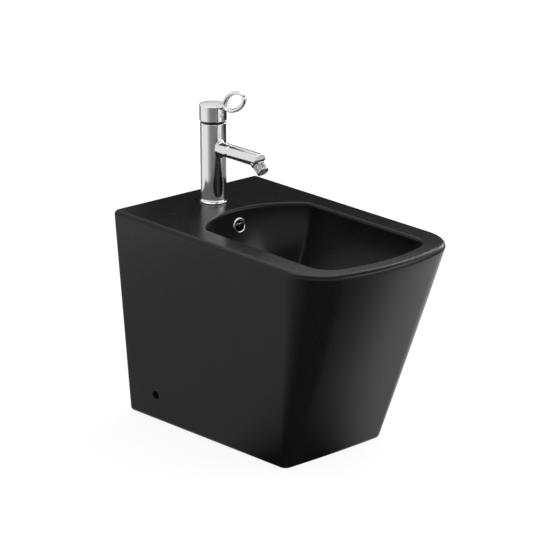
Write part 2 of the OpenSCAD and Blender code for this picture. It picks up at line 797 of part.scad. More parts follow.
module fixing_washer() color("#b8babd") at_tap(body_h - deck_t - gasket_t - washer_t) horseshoe(washer_t);

module fixing_nut() color("#c9a557")
    at_tap(body_h - deck_t - gasket_t - washer_t - fixing_nut_t) translate([0, stud_y, 0]) difference() {
        hex(fixing_nut_af, fixing_nut_t);
        translate([0, 0, -over]) cylinder(d = stud_d + 2 * seat_gap, h = fixing_nut_t + 2 * over);
    }

module spout() color("#d0d3d6") difference() {
    union() {
        at_spout(spout_seam) rotate_extrude() polygon([
            [0, 0],
            [spout_d / 2 - seam_edge, 0],
            [spout_d / 2, seam_edge],
            [spout_d / 2, spout_reach - spout_seam - spout_nose],
            [spout_d / 2 - spout_nose_flat, spout_reach - spout_seam - spout_nose_flat],
            [spout_d / 2 - spout_nose, spout_reach - spout_seam],
            [0, spout_reach - spout_seam]]);
        at_spout(spout_seam - spigot_l) cylinder(d = spigot_d, h = spigot_l + spigot_root);
        at_aerator(0) cylinder(d = collar_d, h = collar_end);
    }
    at_spout(spout_seam - spigot_l - over) cylinder(d = spout_bore_d, h = -aerator_y - spout_seam + spigot_l);
    at_spout(spout_seam - spigot_l + oring_at) ring(spigot_d + 2 * over, oring_d, oring_t + 2 * seat_gap);
    at_aerator(socket_back) cylinder(r = socket_r, h = cut_l);
    at_aerator(retainer_at) cylinder(r = retainer_r, h = cut_l);
    at_aerator(collar_end) cylinder(d = collar_d + 8 * over, h = cut_l);
}

module spout_seal() color("#1a1a1a") at_spout(spout_seam - spigot_l + oring_at + seat_gap)
    ring(spigot_d + seat_gap, oring_d + seat_gap, oring_t);

module ball_slip_ring() color("#e8e8e4") at_aerator(ball_at) difference() {
    intersection() {
        sphere(r = slip_r);
        translate([0, 0, -slip_h / 2]) cylinder(r = 2 * slip_r, h = slip_h);
    }
    sphere(r = ball_r + running_gap);
}

module swivel_ball() color("#d0d3d6") difference() {
    union() {
        at_aerator(ball_at) sphere(r = ball_r);
        at_aerator(ball_at) cylinder(d = ball_neck_d, h = housing_at + housing_top_t - ball_at);
    }
    at_aerator(ball_at - ball_r - over) cylinder(d = ball_bore_d, h = cut_l);
}

module ball_retainer() color("#b8babd") at_aerator(retainer_at) difference() {
    cylinder(r = retainer_r - seat_gap, h = collar_end - retainer_at);
    translate([0, 0, -over]) cylinder(d = ball_neck_d + 2 * retainer_swing, h = cut_l);
}

module aerator_housing() color("#c4c7ca") at_aerator(housing_at) difference() {
    l = aerator_end - housing_at;
    rotate_extrude() polygon([
        [ball_neck_d / 2, 0],
        [aerator_d / 2 - housing_edge, 0],
        [aerator_d / 2, housing_edge],
        [aerator_d / 2, l - housing_edge],
        [aerator_d / 2 - housing_edge, l],
        [housing_bore_d / 2, l],
        [housing_bore_d / 2, housing_top_t],
        [ball_neck_d / 2, housing_top_t]]);
    for (i = [0:knurl_count - 1]) rotate([0, 0, i * 360 / knurl_count])
        translate([aerator_d / 2 - knurl_depth, -knurl_w / 2, knurl_from])
            cube([2 * over, knurl_w, l - knurl_from - knurl_to]);
}

module aerator_seal() color("#1a1a1a") at_aerator(housing_at + housing_top_t)
    ring(housing_bore_d - 2 * seat_gap, ball_bore_d + 2 * aerator_seal_w, aerator_seal_t);

module aerator_insert() color("#e8e8e4")
    at_aerator(housing_at + housing_top_t + aerator_seal_t) difference() {
    l = aerator_end - housing_at - housing_top_t - aerator_seal_t - insert_in;
    cylinder(d = housing_bore_d - 2 * seat_gap, h = l);
    translate([0, 0, -over]) cylinder(d = insert_bore_d, h = l - sieve_t + over);
    for (r = sieve_rings) for (i = [0:2 * r - 1]) rotate([0, 0, i * 180 / r])
        translate([r, 0, 0]) cylinder(d = sieve_hole_d, h = 2 * l, $fn = 16);
    cylinder(d = sieve_hole_d, h = 2 * l, $fn = 16);
}

// Two inlets and one outlet, as they pass through the cartridge's seal, base and fixed disc
module ports(d, h) {
    for (s = [-1, 1]) translate([s * inlet_pitch / 2, port_y, -over]) cylinder(d = d, h = h + 2 * over);
    translate([0, outlet_y, -over]) cylinder(d = d, h = h + 2 * over);
}

module cartridge_seal() color("#1a1a1a") at_tap(seat_z) difference() {
    cylinder(d = cartridge_d - 2 * cartridge_seal_in, h = cartridge_seal_t);
    ports(seal_port_d, cartridge_seal_t);
}

module cartridge_base() color("#e8e8e4") at_tap(base_z) difference() {
    cylinder(d = cartridge_d, h = cartridge_base_t);
    ports(base_port_d, cartridge_base_t);
}

module fixed_disc() color("#f4f2ec") at_tap(fixed_z) difference() {
    cylinder(d = fixed_disc_d, h = fixed_disc_t);
    for (s = [-1, 1]) translate([s * disc_port_x, disc_port_y, -over])
        cylinder(d = disc_port_d, h = fixed_disc_t + 2 * over);
    translate([0, disc_outlet_y, -over]) cylinder(d = disc_outlet_d, h = fixed_disc_t + 2 * over);
}

module moving_disc() color("#f4f2ec") at_tap(moving_z) difference() {
    cylinder(d = moving_disc_d, h = moving_disc_t);
    translate([0, 0, tip_pocket_floor]) cylinder(d = tip_pocket_d, h = moving_disc_t);
    translate([0, disc_outlet_y, -over]) cylinder(d = disc_channel_d, h = disc_channel_h + over);
}

module cartridge_housing() color("#8d9094") at_tap(fixed_z) difference() {
    cylinder(d = cartridge_d, h = housing_top_z - fixed_z);
    translate([0, 0, -over])
        cylinder(d = disc_room_d, h = turret_z + turret_flange_t + free_gap - fixed_z + over);
    cylinder(d = turret_d + 2 * running_gap, h = cartridge_h);
}

module turret() color("#e8e8e4") difference() {
    union() {
        at_tap(turret_z) cylinder(d = turret_flange_d, h = turret_flange_t);
        at_tap(turret_z) cylinder(d = turret_d, h = turret_top_z - turret_z);
    }
    at_tap(turret_z - over) translate([-stem_w / 2 - free_gap, -slot_front, 0])
        cube([stem_w + 2 * free_gap, slot_front + slot_rear, turret_top_z - turret_z + 2 * over]);
    at_tap(pivot_z) rotate([0, 90, 0]) cylinder(d = pivot_pin_d, h = 2 * turret_d, center = true);
}

module pivot_pin() color("#b8babd") at_tap(pivot_z) rotate([0, 90, 0])
    cylinder(d = pivot_pin_d, h = turret_d - 2 * pin_in, center = true);

module lever_stem() color("#b8babd") difference() {
    union() {
        at_tap(pivot_z - stem_low) translate([-stem_w / 2, -stem_l / 2, 0])
            cube([stem_w, stem_l, stem_top_z - pivot_z + stem_low]);
        at_tap(pivot_z - stem_tip) cylinder(d = stem_tip_d, h = stem_tip);
    }
    at_tap(pivot_z) rotate([0, 90, 0]) cylinder(d = pivot_pin_d + 2 * pin_gap, h = 2 * stem_w, center = true);
}

module cartridge_nut() color("#c9a557") at_tap(housing_top_z) difference() {
    cylinder(d = cartridge_thread_d - 2 * seat_gap, h = cartridge_nut_t);
    translate([0, 0, -over]) cylinder(d = turret_d + 2 * nut_bore_gap, h = cartridge_nut_t + 2 * over);
    for (i = [0:3]) rotate([0, 0, 45 + 90 * i])
        translate([nut_notch_at, -nut_notch_w / 2, cartridge_nut_t - nut_notch_h])
        cube([cartridge_thread_d / 2, nut_notch_w, nut_notch_h + over]);
}

// Its outside is part of a sphere about the lever's pivot, so that the cap passes it at any lift
module neck_ring() color("#101012") at_tap(tap_top_z) difference() {
    intersection() {
        cylinder(d = neck_ring_d, h = neck_ring_t);
        translate([0, 0, -pivot_drop]) sphere(r = neck_sphere_r, $fn = 128);
    }
    translate([0, 0, -over]) cylinder(d = neck_bore_d, h = neck_ring_t + 2 * over);
    translate([0, 0, -over]) cylinder(d = neck_seat_d, h = neck_seat_t + over);
}

// Outside of the handle cap
module cap_shape() at_tap(cap_z) rotate_extrude() polygon(concat(
    [[0, 0]],
    [for (a = [0:15:90]) [cap_r - tap_edge_r * (1 - sin(a)), tap_edge_r * (1 - cos(a))]],
    [[cap_r, cap_h - cap_chamfer], [cap_r - cap_chamfer, cap_h], [0, cap_h]]));

module handle_cap() color("#d0d3d6") difference() {
    cap_shape();
    at_tap(cap_z - over) cylinder(d = cap_hollow_d, h = cap_hollow_h + over);
    at_tap(cap_z) translate([-stem_w / 2 - seat_gap / 2, -stem_l / 2 - seat_gap / 2, 0])
        cube([stem_w + seat_gap, stem_l + seat_gap, cap_hollow_h + stem_socket_h]);
    at_tap(grub_z) rotate([90, 0, 0]) cylinder(d = grub_d, h = cap_r + over);
    at_tap(grub_z) rotate([90, 0, 0]) translate([0, 0, cap_r - cover_l + cover_out])
        cylinder(d = cover_d, h = cut_l);
}

// Point on the loop: t goes round the loop from its tip, s round the rod
function loop_point(t, s) =
    let (
        c = [loop_a * cos(t), loop_b * sin(t)],
        n = [loop_b * cos(t), loop_a * sin(t)] / norm([loop_b * cos(t), loop_a * sin(t)]),
        wide = loop_rod_d / 2 + loop_root_extra / 2 * pow((1 - cos(t)) / 2, 2),
        p = c + n * loop_rod_d / 2 * cos(s))
    [wide * sin(s), -p.x, p.y];

// The closed loop, one unbroken rod
module loop_rod() {
    n = loop_sides;
    m = loop_steps;
    points = [for (k = [0:m - 1]) for (i = [0:n - 1]) loop_point(360 * k / m, 360 * i / n)];
    faces = [for (k = [0:m - 1]) for (i = [0:n - 1]) let (
            a = k * n + i,
            b = k * n + (i + 1) % n,
            c = ((k + 1) % m) * n + (i + 1) % n,
            d = ((k + 1) % m) * n + i)
        each [[a, c, b], [a, d, c]]];
    polyhedron(points = points, faces = faces);
}

module loop_lever() color("#d0d3d6") difference() {
    union() {
        at_tap(cap_top_z + loop_up) translate([0, -loop_reach, 0]) rotate([-loop_rise, 0, 0]) loop_rod();
        hull() {
            at_tap(cap_top_z + loop_up) translate([0, -loop_reach, 0]) rotate([-loop_rise, 0, 0])
                translate([0, loop_a - root_in, 0]) scale([root_wide, 1, 1]) sphere(r = root_r, $fn = 32);
            at_tap(cap_top_z) translate([0, root_foot_in - cap_r, -root_foot_down])
                scale([root_foot_wide, 1, root_foot_flat]) sphere(r = root_foot_r, $fn = 32);
        }
    }
    at_tap(cap_z) cylinder(r = cap_r, h = cap_h);
}

module grub_screw() color("#3a3a3c") at_tap(grub_z) rotate([90, 0, 0]) translate([0, 0, stem_l / 2])
    difference() {
        cylinder(d = grub_d, h = grub_l);
        translate([0, 0, grub_l - grub_key_depth]) hex(grub_key_af, grub_key_depth + over);
    }

module screw_cover() color("#d0d3d6") at_tap(grub_z) rotate([90, 0, 0])
    translate([0, 0, cap_r - cover_l + cover_out]) rotate_extrude() polygon([
        [0, 0],
        [cover_d / 2, 0],
        [cover_d / 2, cover_l - cover_edge],
        [cover_d / 2 - cover_edge, cover_l],
        [0, cover_l]]);

ceramic_body();
overflow_ring();
waste_upper_seal();
waste_body();
waste_lower_seal();
waste_washer();
waste_nut();
click_barrel();
click_stem();
waste_plug();
waste_plug_seal();
tap_body();
tap_base_seal();
fixing_stud();
fixing_gasket();
fixing_washer();
fixing_nut();
spout();
spout_seal();
ball_slip_ring();
swivel_ball();
ball_retainer();
aerator_housing();
aerator_seal();
aerator_insert();
cartridge_seal();
cartridge_base();
fixed_disc();
moving_disc();
cartridge_housing();
turret();
pivot_pin();
lever_stem();
cartridge_nut();
neck_ring();
handle_cap();
loop_lever();
grub_screw();
screw_cover();
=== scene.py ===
import json
import math

import bmesh
import bpy
from mathutils import Matrix, Vector

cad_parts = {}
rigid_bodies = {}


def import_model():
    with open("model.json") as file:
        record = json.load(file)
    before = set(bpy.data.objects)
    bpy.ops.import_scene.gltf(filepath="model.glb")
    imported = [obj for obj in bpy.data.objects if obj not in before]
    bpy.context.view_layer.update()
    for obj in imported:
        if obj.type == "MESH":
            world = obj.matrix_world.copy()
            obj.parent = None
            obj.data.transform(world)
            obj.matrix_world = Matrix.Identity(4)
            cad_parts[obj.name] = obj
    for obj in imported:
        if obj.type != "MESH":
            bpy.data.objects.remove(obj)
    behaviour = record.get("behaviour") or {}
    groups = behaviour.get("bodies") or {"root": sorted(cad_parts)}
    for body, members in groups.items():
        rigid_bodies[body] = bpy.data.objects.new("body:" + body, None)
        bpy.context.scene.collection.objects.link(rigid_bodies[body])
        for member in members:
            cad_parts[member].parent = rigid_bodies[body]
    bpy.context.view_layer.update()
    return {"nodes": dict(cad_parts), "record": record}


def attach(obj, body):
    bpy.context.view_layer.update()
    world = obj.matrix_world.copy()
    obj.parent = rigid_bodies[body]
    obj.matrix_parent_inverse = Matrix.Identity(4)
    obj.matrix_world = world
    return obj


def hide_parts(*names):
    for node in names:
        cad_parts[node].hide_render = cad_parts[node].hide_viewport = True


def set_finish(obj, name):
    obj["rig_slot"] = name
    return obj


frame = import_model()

MM = 0.001

# Ceramic body, as in the construction
BODY_W, BODY_L, BODY_H = 344.0, 576.0, 400.0
FOOT_W_FRONT, FOOT_W_REAR, FOOT_L = 236.0, 285.0, 415.0
RIM_R, FOOT_R, REAR_R = 87.0, 15.0, 9.0
RIM_BOW, FOOT_BOW = 9.6, 2.0
TOP_R, BOTTOM_R = 9.0, 7.6
WALL, DECK = 14.0, 14.0
REAR_Y, FRONT_Y = BODY_L / 2, -BODY_L / 2
FOOT_FRONT_Y = REAR_Y - FOOT_L
WINDOW_W, WINDOW_H = 180.0, 250.0

# Basin
BASIN_W, BASIN_CORNER_R, BASIN_BOW = 256.0, 50.0, 9.0
BASIN_FRONT_Y, BASIN_REAR_Y = FRONT_Y + 32, REAR_Y - 144
BASIN_REAR_R, BASIN_BLEND_R = 163.0, 30.0
LIP_R, BASIN_DEPTH, DRAFT, SHELL = 6.0, 150.0, 0.12, 12.0
DRAIN_Y = REAR_Y - 260
WALL_TOP = BODY_H - LIP_R
RECESS_R, RECESS_Z, PAD_Z, PAD_R, DRAIN_R = 33.0, 246.0, 228.0, 46.0, 22.75

# Overflow: the hole is square to the sloping rear wall
OVERFLOW_Z = BODY_H - 31.4
_share = (WALL_TOP - OVERFLOW_Z) / (BASIN_DEPTH - LIP_R)
_turn = math.asin(_share)
OVERFLOW_Y = DRAIN_Y + (BASIN_REAR_Y - LIP_R - DRAIN_Y) * (1 - DRAFT * _share) * math.cos(_turn)
OVERFLOW_SLOPE = math.atan(
    (BASIN_REAR_Y - LIP_R - DRAIN_Y) / (BASIN_DEPTH - LIP_R)
    * (DRAFT * math.cos(_turn) ** 2 + (1 - DRAFT * _share) * _share) / math.cos(_turn))
CHANNEL_Y = OVERFLOW_Y + 26
CHANNEL_W, CHANNEL_STEP = 32.0, 0.2
CHANNEL_FRONT_Y, PASSAGE_FRONT_Y = OVERFLOW_Y + 6, 66.0
PASSAGE_Z, PASSAGE_R, PASSAGE_TOP = 237.0, 10.0, OVERFLOW_Z - 16
OVERFLOW_HOLE_R, OVERFLOW_HOLE_L = 12.1, 24.0
OVERFLOW_SEAT_R, OVERFLOW_SEAT_L = 15.5, 14.0
OVERFLOW_RING_R, OVERFLOW_SLEEVE_R, OVERFLOW_BORE_R, OVERFLOW_SLEEVE_L = 15.0, 12.0, 10.0, 15.0

# Side holes
SIDE_HOLE_R, SIDE_HOLE_Z, SIDE_HOLE_Y, SIDE_HOLE_L = 7.5, 52.7, REAR_Y - 80.5, 17.0
SIDE_HOLE_X = 142.3
SIDE_BOSS_R, SIDE_BOSS_FROM = 17.5, 3.0
SIDE_MOUTH_R, SIDE_MOUTH_END = 1.4, 1.2
SIDE_TILT = math.radians(4)

# Tap
TAP_Y = REAR_Y - 82
TAP_R, TAP_FOOT_R, TAP_FOOT_H, TAP_TOP = 23.7, 27.0, 9.0, 550.0
TAP_EDGE_R, TAP_HOLE_R = 1.2, 17.5
TAP_FOOT_EDGE_R, TAP_FOOT_BAND, TAP_FLARE_H = 0.8, 2.2, 6.8
CARTRIDGE_SEAT_R, CARTRIDGE_SEAT_Z = 19.0, TAP_TOP - 9.5
NECK_R, PIVOT_Z = TAP_R - 0.8, TAP_TOP - 15
NECK_LOW, NECK_HIGH, NECK_SEAT_R, NECK_BORE_R, NECK_LEDGE = 17.0, 21.8, 19.3, 17.5, 0.8
NECK_SPHERE_R = math.hypot(NECK_R, NECK_LOW)
SPOUT_R, SPOUT_Z, SEAM, REACH = 12.75, 504.4, 53.0, 131.5
ROOT_R, SPOUT_BORE_R, SPOUT_EDGE_R = 5.0, 9.0, 1.4
AERATOR_BACK, TILT = 16.2, math.radians(40)
COLLAR_R, COLLAR_END, SOCKET_R, RETAINER_R, RETAINER_AT = 12.2, 11.0, 9.1, 11.0, 8.0
HOUSING_AT, HOUSING_R, AERATOR_END = 13.6, 11.0, 31.2
HOUSING_EDGE_R, HOUSING_BACK_R, HOUSING_BORE_R, HOUSING_REST_Z = 0.8, 5.5, 9.2, 3.0
GROOVES, GROOVE_DEPTH, GROOVE_POWER = 56, 0.42, 0.7
CAP_Z, CAP_R, CAP_H, CAP_EDGE_R = 554.5, 24.9, 29.2, 1.0
CAP_TOP = CAP_Z + CAP_H
LOOP_A, LOOP_B, ROD_R, ROOT_EXTRA = 29.0, 14.9, 3.85, 5.0
LOOP_RISE = math.radians(27.3)
LOOP_Y, LOOP_Z = TAP_Y - 61.3, CAP_TOP + 16
COVER_Z, COVER_R, COVER_H, COVER_EDGE_R = 566.7, 3.5, 5.0, 0.8
PLUG_R, PLUG_Z, PLUG_RIM, PLUG_DOME = 30.0, 259.3, 1.5, 4.0
WELD = 0.002


def place(origin=(0, 0, 0), turn_x=0.0):
    """Matrix that turns about X and then moves to a point in millimetres."""
    return Matrix.Translation(Vector(origin)) @ Matrix.Rotation(turn_x, 4, "X")


def build(name, verts, faces, matrix=None, sharp=32.0):
    """Object from points in millimetres, smooth except at edges sharper than an angle."""
    if matrix is not None:
        verts = [matrix @ Vector(v) for v in verts]
    mesh = bpy.data.meshes.new(name)
    mesh.from_pydata([tuple(c * MM for c in v) for v in verts], [], [tuple(f) for f in faces])
    return finish_mesh(name, mesh, sharp)


def finish_mesh(name, mesh, sharp=32.0):
    """Object with a cleaned mesh, linked to the scene."""
    bm = bmesh.new()
    bm.from_mesh(mesh)
    bmesh.ops.remove_doubles(bm, verts=bm.verts, dist=2e-6)
    bmesh.ops.dissolve_degenerate(bm, edges=bm.edges, dist=1e-7)
    bmesh.ops.recalc_face_normals(bm, faces=bm.faces)
    bm.to_mesh(mesh)
    bm.free()
    mesh.polygons.foreach_set("use_smooth", [True] * len(mesh.polygons))
    mesh.set_sharp_from_angle(angle=math.radians(sharp))
    obj = bpy.data.objects.new(name, mesh)
    bpy.context.scene.collection.objects.link(obj)
    return obj


def lathe(name, profile, matrix, steps=192, sharp=32.0, closed=False):
    """Turned solid about local Z from (radius, height) pairs; a radius of 0 is a pole."""
    verts, rows = [], []
    for r, z in profile:
        if r < 1e-6:
            rows.append([len(verts)] * steps)
            verts.append((0, 0, z))
        else:
            rows.append([len(verts) + i for i in range(steps)])
            verts += [(r * math.cos(2 * math.pi * i / steps), r * math.sin(2 * math.pi * i / steps), z)
                      for i in range(steps)]
    faces = []
    pairs = list(zip(rows, rows[1:]))
    if closed:
        pairs.append((rows[-1], rows[0]))
    for a, b in pairs:
        for i in range(steps):
            j = (i + 1) % steps
            face = []
            for v in (a[i], a[j], b[j], b[i]):
                if v not in face:
                    face.append(v)
            if len(face) > 2:
                faces.append(face)
    return build(name, verts, faces, matrix, sharp)


def arc(cr, cz, r, a0, a1, n):
    """Points of an arc in a profile, angles in degrees."""
    return [(cr + r * math.cos(math.radians(a0 + (a1 - a0) * i / n)),
             cz + r * math.sin(math.radians(a0 + (a1 - a0) * i / n))) for i in range(n + 1)]


def loft(name, rings, closed=False, caps=True, sharp=32.0):
    """Skin through rings of equal length; closed joins the last ring to the first."""
    n = len(rings[0])
    verts = [p for ring in rings for p in ring]
    faces = []
    m = len(rings)
    for k in range(m if closed else m - 1):
        a, b = k * n, ((k + 1) % m) * n
        faces += [(a + i, a + (i + 1) % n, b + (i + 1) % n, b + i) for i in range(n)]
    if caps and not closed:
        faces.append(tuple(reversed(range(n))))
        faces.append(tuple((m - 1) * n + i for i in range(n)))
    return build(name, verts, faces, None, sharp)


def box(name, low, high, matrix=None):
    """Block between two corners."""
    (x0, y0, z0), (x1, y1, z1) = low, high
    v = [(x, y, z) for z in (z0, z1) for y in (y0, y1) for x in (x0, x1)]
    f = [(0, 2, 3, 1), (4, 5, 7, 6), (0, 1, 5, 4), (2, 6, 7, 3), (0, 4, 6, 2), (1, 3, 7, 5)]
    return build(name, v, f, matrix)


def apply_modifiers(obj):
    """Bakes an object's modifiers into its mesh."""
    graph = bpy.context.evaluated_depsgraph_get()
    graph.update()
    mesh = bpy.data.meshes.new_from_object(obj.evaluated_get(graph))
    obj.modifiers.clear()
    old = obj.data
    obj.data = mesh
    bpy.data.meshes.remove(old)


def join(objs):
    """One object with the meshes of several, for use as a single tool."""
    bm = bmesh.new()
    for o in objs:
        bm.from_mesh(o.data)
    bm.to_mesh(objs[0].data)
    bm.free()
    for o in objs[1:]:
        bpy.data.objects.remove(o)
    return objs[0]


def cut(obj, tool, operation="DIFFERENCE"):
    """Exact boolean, baked; the tool is used up."""
    m = obj.modifiers.new("cut", "BOOLEAN")
    m.operation = operation
    m.solver = "EXACT"
    m.object = tool
    bpy.context.view_layer.update()
    apply_modifiers(obj)
    bpy.data.objects.remove(tool)


def weld(obj):
    """Joins points that nearly meet, so that no seam stays split after the cuts."""
    bm = bmesh.new()
    bm.from_mesh(obj.data)
    bmesh.ops.remove_doubles(bm, verts=bm.verts, dist=WELD * MM)
    bm.to_mesh(obj.data)
    bm.free()


def polish(obj, sharp=32.0):
    """Smooth shading with flat faces kept flat, for meshes that were cut."""
    mesh = obj.data
    mesh.polygons.foreach_set("use_smooth", [True] * len(mesh.polygons))
    mesh.set_sharp_from_angle(angle=math.radians(sharp))
    w = obj.modifiers.new("weights", "WEIGHTED_NORMAL")
    w.keep_sharp = True
    w.weight = 60
    w.mode = "FACE_AREA"
    bpy.context.view_layer.update()
    apply_modifiers(obj)
    return obj


def bevel(obj, width, segments=3, angle=30.0):
    """Rounded edges wherever faces meet more sharply than an angle."""
    m = obj.modifiers.new("edges", "BEVEL")
    m.width = width * MM
    m.segments = segments
    m.limit_method = "ANGLE"
    m.angle_limit = math.radians(angle)
    bpy.context.view_layer.update()
    apply_modifiers(obj)
    return obj


# Steps round the half outline: bow, corner, side, rear corner, rear
N_BOW, N_CORNER, N_SIDE, N_REAR, N_BACK = 18, 26, 14, 10, 14


def mix(a, b, t):
    return a + (b - a) * t


def line(p, q, n):
    """n points after p, the last one at q."""
    return [(mix(p[0], q[0], i / n), mix(p[1], q[1], i / n)) for i in range(1, n + 1)]


def turn_about(c, r, a0, a1, n, first=True):
    """Points of an arc about a centre, angles in radians."""
    return [(c[0] + r * math.cos(mix(a0, a1, i / n)), c[1] + r * math.sin(mix(a0, a1, i / n)))
            for i in range(0 if first else 1, n + 1)]


def front_half(x, front, bow, r, inset, side_angle):
    """Bow and corner arc of an outline, drawn in by an inset."""
    b = (x * x + bow * bow) / (2 * bow)
    cy = front + b - math.sqrt((b - r) ** 2 - x * x)
    a = math.asin(x / (b - r))
    return (turn_about((0, front + b), b - inset, -math.pi / 2, -math.pi / 2 + a, N_BOW)
            + turn_about((x, cy), max(r - inset, 0.4), -math.pi / 2 + a, -side_angle, N_CORNER, False))


def body_half(z, inset):
    """Half outline of the body at a height, drawn in by an inset."""
    t = min(z / (BODY_H - TOP_R), 1)
    wf = mix(FOOT_W_FRONT, BODY_W, t) / 2
    wr = mix(FOOT_W_REAR, BODY_W, t) / 2
    fy = mix(FOOT_FRONT_Y, FRONT_Y, t)
    r = mix(FOOT_R, RIM_R, t)
    a = math.atan((wr - wf) / (REAR_Y - fy))
    rr = max(REAR_R - inset, 0.4)
    pts = front_half(wf - r, fy, mix(FOOT_BOW, RIM_BOW, t), r, inset, a)
    corner = (wr - inset - rr, REAR_Y - inset - rr)
    start = (corner[0] + rr * math.cos(-a), corner[1] + rr * math.sin(-a))
    pts += line(pts[-1], start, N_SIDE)
    pts += turn_about(corner, rr, -a, math.pi / 2, N_REAR, False)
    return pts + line(pts[-1], (0, REAR_Y - inset), N_BACK)


def basin_half(grow):
    """Half outline of the basin's opening, moved outwards by grow."""
    x = BASIN_W / 2 - BASIN_CORNER_R
    bx = BASIN_W / 2 - BASIN_BLEND_R
    by = math.sqrt((BASIN_REAR_R - BASIN_BLEND_R) ** 2 - bx * bx)
    turn = math.atan2(by, bx)
    rear_c = BASIN_REAR_Y - BASIN_REAR_R
    pts = front_half(x, BASIN_FRONT_Y, BASIN_BOW, BASIN_CORNER_R, -grow, 0)
    pts += line(pts[-1], (bx + BASIN_BLEND_R + grow, rear_c + by), N_SIDE)
    pts += turn_about((bx, rear_c + by), BASIN_BLEND_R + grow, 0, turn, N_REAR, False)
    return pts + turn_about((0, rear_c), BASIN_REAR_R + grow, turn, math.pi / 2, N_BACK, False)


def whole(half):
    """Full outline from its half and the mirror image."""
    return half + [(-x, y) for x, y in reversed(half[1:-1])]


def body_ring(z, inset):
    """Outline of the body as a ring of points at its height."""
    return [(x, y, z) for x, y in whole(body_half(z, inset))]


def wall_point(p, deeper, angle):
    """Point of the basin's wall below a point of its outline, at an angle in radians."""
    share = math.sin(angle)
    k = (1 - DRAFT * share) * math.cos(angle)
    return (p[0] * k, DRAIN_Y + (p[1] - DRAIN_Y) * k, WALL_TOP - (BASIN_DEPTH - LIP_R + deeper) * share)


def angle_at_radius(p, radius):
    """Angle at which the wall below an outline point comes within a radius of the drain's axis."""
    d = math.hypot(p[0], p[1] - DRAIN_Y)
    low, high = 0.0, math.pi / 2
    for _ in range(40):
        mid = (low + high) / 2
        if (1 - DRAFT * math.sin(mid)) * math.cos(mid) * d > radius:
            low = mid
        else:
            high = mid
    return (low + high) / 2


def wall_rings(grow, deeper, radius, steps, top_angle=0.0):
    """Rings of the wall from its top to a circle of the given radius about the drain."""
    outline = whole(basin_half(grow - LIP_R))
    ends = [angle_at_radius(p, radius) for p in outline]
    return [[wall_point(p, deeper, mix(top_angle, e, i / steps)) for p, e in zip(outline, ends)]
            for i in range(steps + 1)]


def flat_ring(like, radius, z):
    """Circle about the drain with its points in the directions of another ring's."""
    out = []
    for x, y, _ in like:
        d = math.hypot(x, y - DRAIN_Y)
        out.append((x / d * radius, DRAIN_Y + (y - DRAIN_Y) / d * radius, z))
    return out


def side_hole(side):
    """Matrix with +Z along a side hole, into the body."""
    return Matrix.Translation((side * SIDE_HOLE_X, SIDE_HOLE_Y, SIDE_HOLE_Z)) \
        @ Matrix.Rotation(-side * (math.pi / 2 - SIDE_TILT), 4, "Y")


